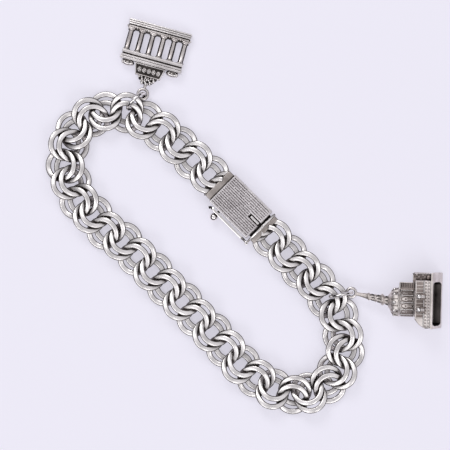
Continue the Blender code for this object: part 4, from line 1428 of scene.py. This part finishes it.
def world():
    """Bright ceiling that falls off to a dim wall, as in a lightly tented table top."""
    sky = bpy.data.worlds.new("studio")
    bpy.context.scene.world = sky
    sky.use_nodes = True
    tree = sky.node_tree
    link = tree.links.new
    where = tree.nodes.new("ShaderNodeTexCoord")
    split = tree.nodes.new("ShaderNodeSeparateXYZ")
    lean = add(tree, "ShaderNodeMath", operation="MULTIPLY_ADD")
    lean.inputs[1].default_value = SKY_LEAN
    link(where.outputs["Generated"], split.inputs[0])
    link(split.outputs["X"], lean.inputs[0])
    link(split.outputs["Z"], lean.inputs[2])
    stops = [(0.0, 0.02), (0.3, 0.01), (0.5, 0.04), (0.66, 0.8), (0.8, 1.12), (0.92, 0.7), (1.0, 0.58)]
    fall = ramp(tree, lean.outputs[0], [(at, (v * 0.97, v * 0.96, v)) for at, v in stops])
    link(fall.outputs["Color"], tree.nodes["Background"].inputs["Color"])
    tree.nodes["Background"].inputs["Strength"].default_value = WORLD_STRENGTH


def floor():
    mesh = bpy.data.meshes.new("floor")
    corners = [(x * FLOOR_HALF, y * FLOOR_HALF, 0) for x, y in ((-1, -1), (1, -1), (1, 1), (-1, 1))]
    mesh.from_pydata(corners, [], [(0, 1, 2, 3)])
    obj = added("floor", mesh)
    mat, _, shader = nodes_of("pale_floor")
    shader.inputs["Metallic"].default_value = 0.0
    shader.inputs["Base Color"].default_value = (*FLOOR_COLOUR, 1)
    shader.inputs["Roughness"].default_value = 0.7
    shader.inputs["Emission Color"].default_value = (*FLOOR_COLOUR, 1)
    shader.inputs["Emission Strength"].default_value = FLOOR_GLOW
    mesh.materials.append(mat)
    obj.location.z = -FLOOR_DROP


def area(name, at, size_x, size_y, power):
    light = bpy.data.lights.new(name, "AREA")
    light.shape = "RECTANGLE"
    light.size = size_x
    light.size_y = size_y
    light.energy = power
    lamp = added(name, light)
    lamp.location = at
    lamp.rotation_euler = (-Vector(at)).to_track_quat("-Z", "Y").to_euler()


def tone():
    """Plain tone curve, so that pale stays pale and the hollows stay dark."""
    view = bpy.context.scene.view_settings
    view.view_transform = "Standard"
    view.look = "None"
    view.exposure = 0.0


def camera():
    """Straight above, turned as the photograph is."""
    right = Vector((0.669, 0.743, 0)).normalized()
    up = Vector((-0.743, 0.669, 0)).normalized()
    centre = Vector((-1.29 * MM, 6.79 * MM, 0)) + SHIFT
    cam = bpy.data.cameras.new("camera")
    cam.sensor_fit = "HORIZONTAL"
    cam.sensor_width = 36
    cam.lens = cam.sensor_width * (CAMERA_HEIGHT - SPAN_LEVEL) / CAMERA_SPAN
    turn = Matrix((right, up, right.cross(up))).transposed().to_4x4()
    place = Matrix.Translation(centre + Vector((0, 0, CAMERA_HEIGHT))) @ turn
    bpy.context.scene.camera = added("camera", cam, place)


camera()
tone()
floor()
world()
area("soft_box_left", (-0.4, 0.15, 0.45), 0.25, 0.25, 0.75)
area("soft_box_right", (0.4, -0.1, 0.45), 0.15, 0.4, 0.35)
area("soft_box_front", (0.0, -0.4, 0.5), 0.4, 0.15, 0.35)
dress_frame()
chain()
clasp_case()
tongue()
catch()
jump_ring("gate_ring_piece", "gate_jump_ring", GATE_RING_AT, GATE_RING_TURN)
jump_ring("cathedral_ring_piece", "cathedral_jump_ring", CATHEDRAL_RING_AT, CATHEDRAL_RING_TURN)
gate()
cathedral()
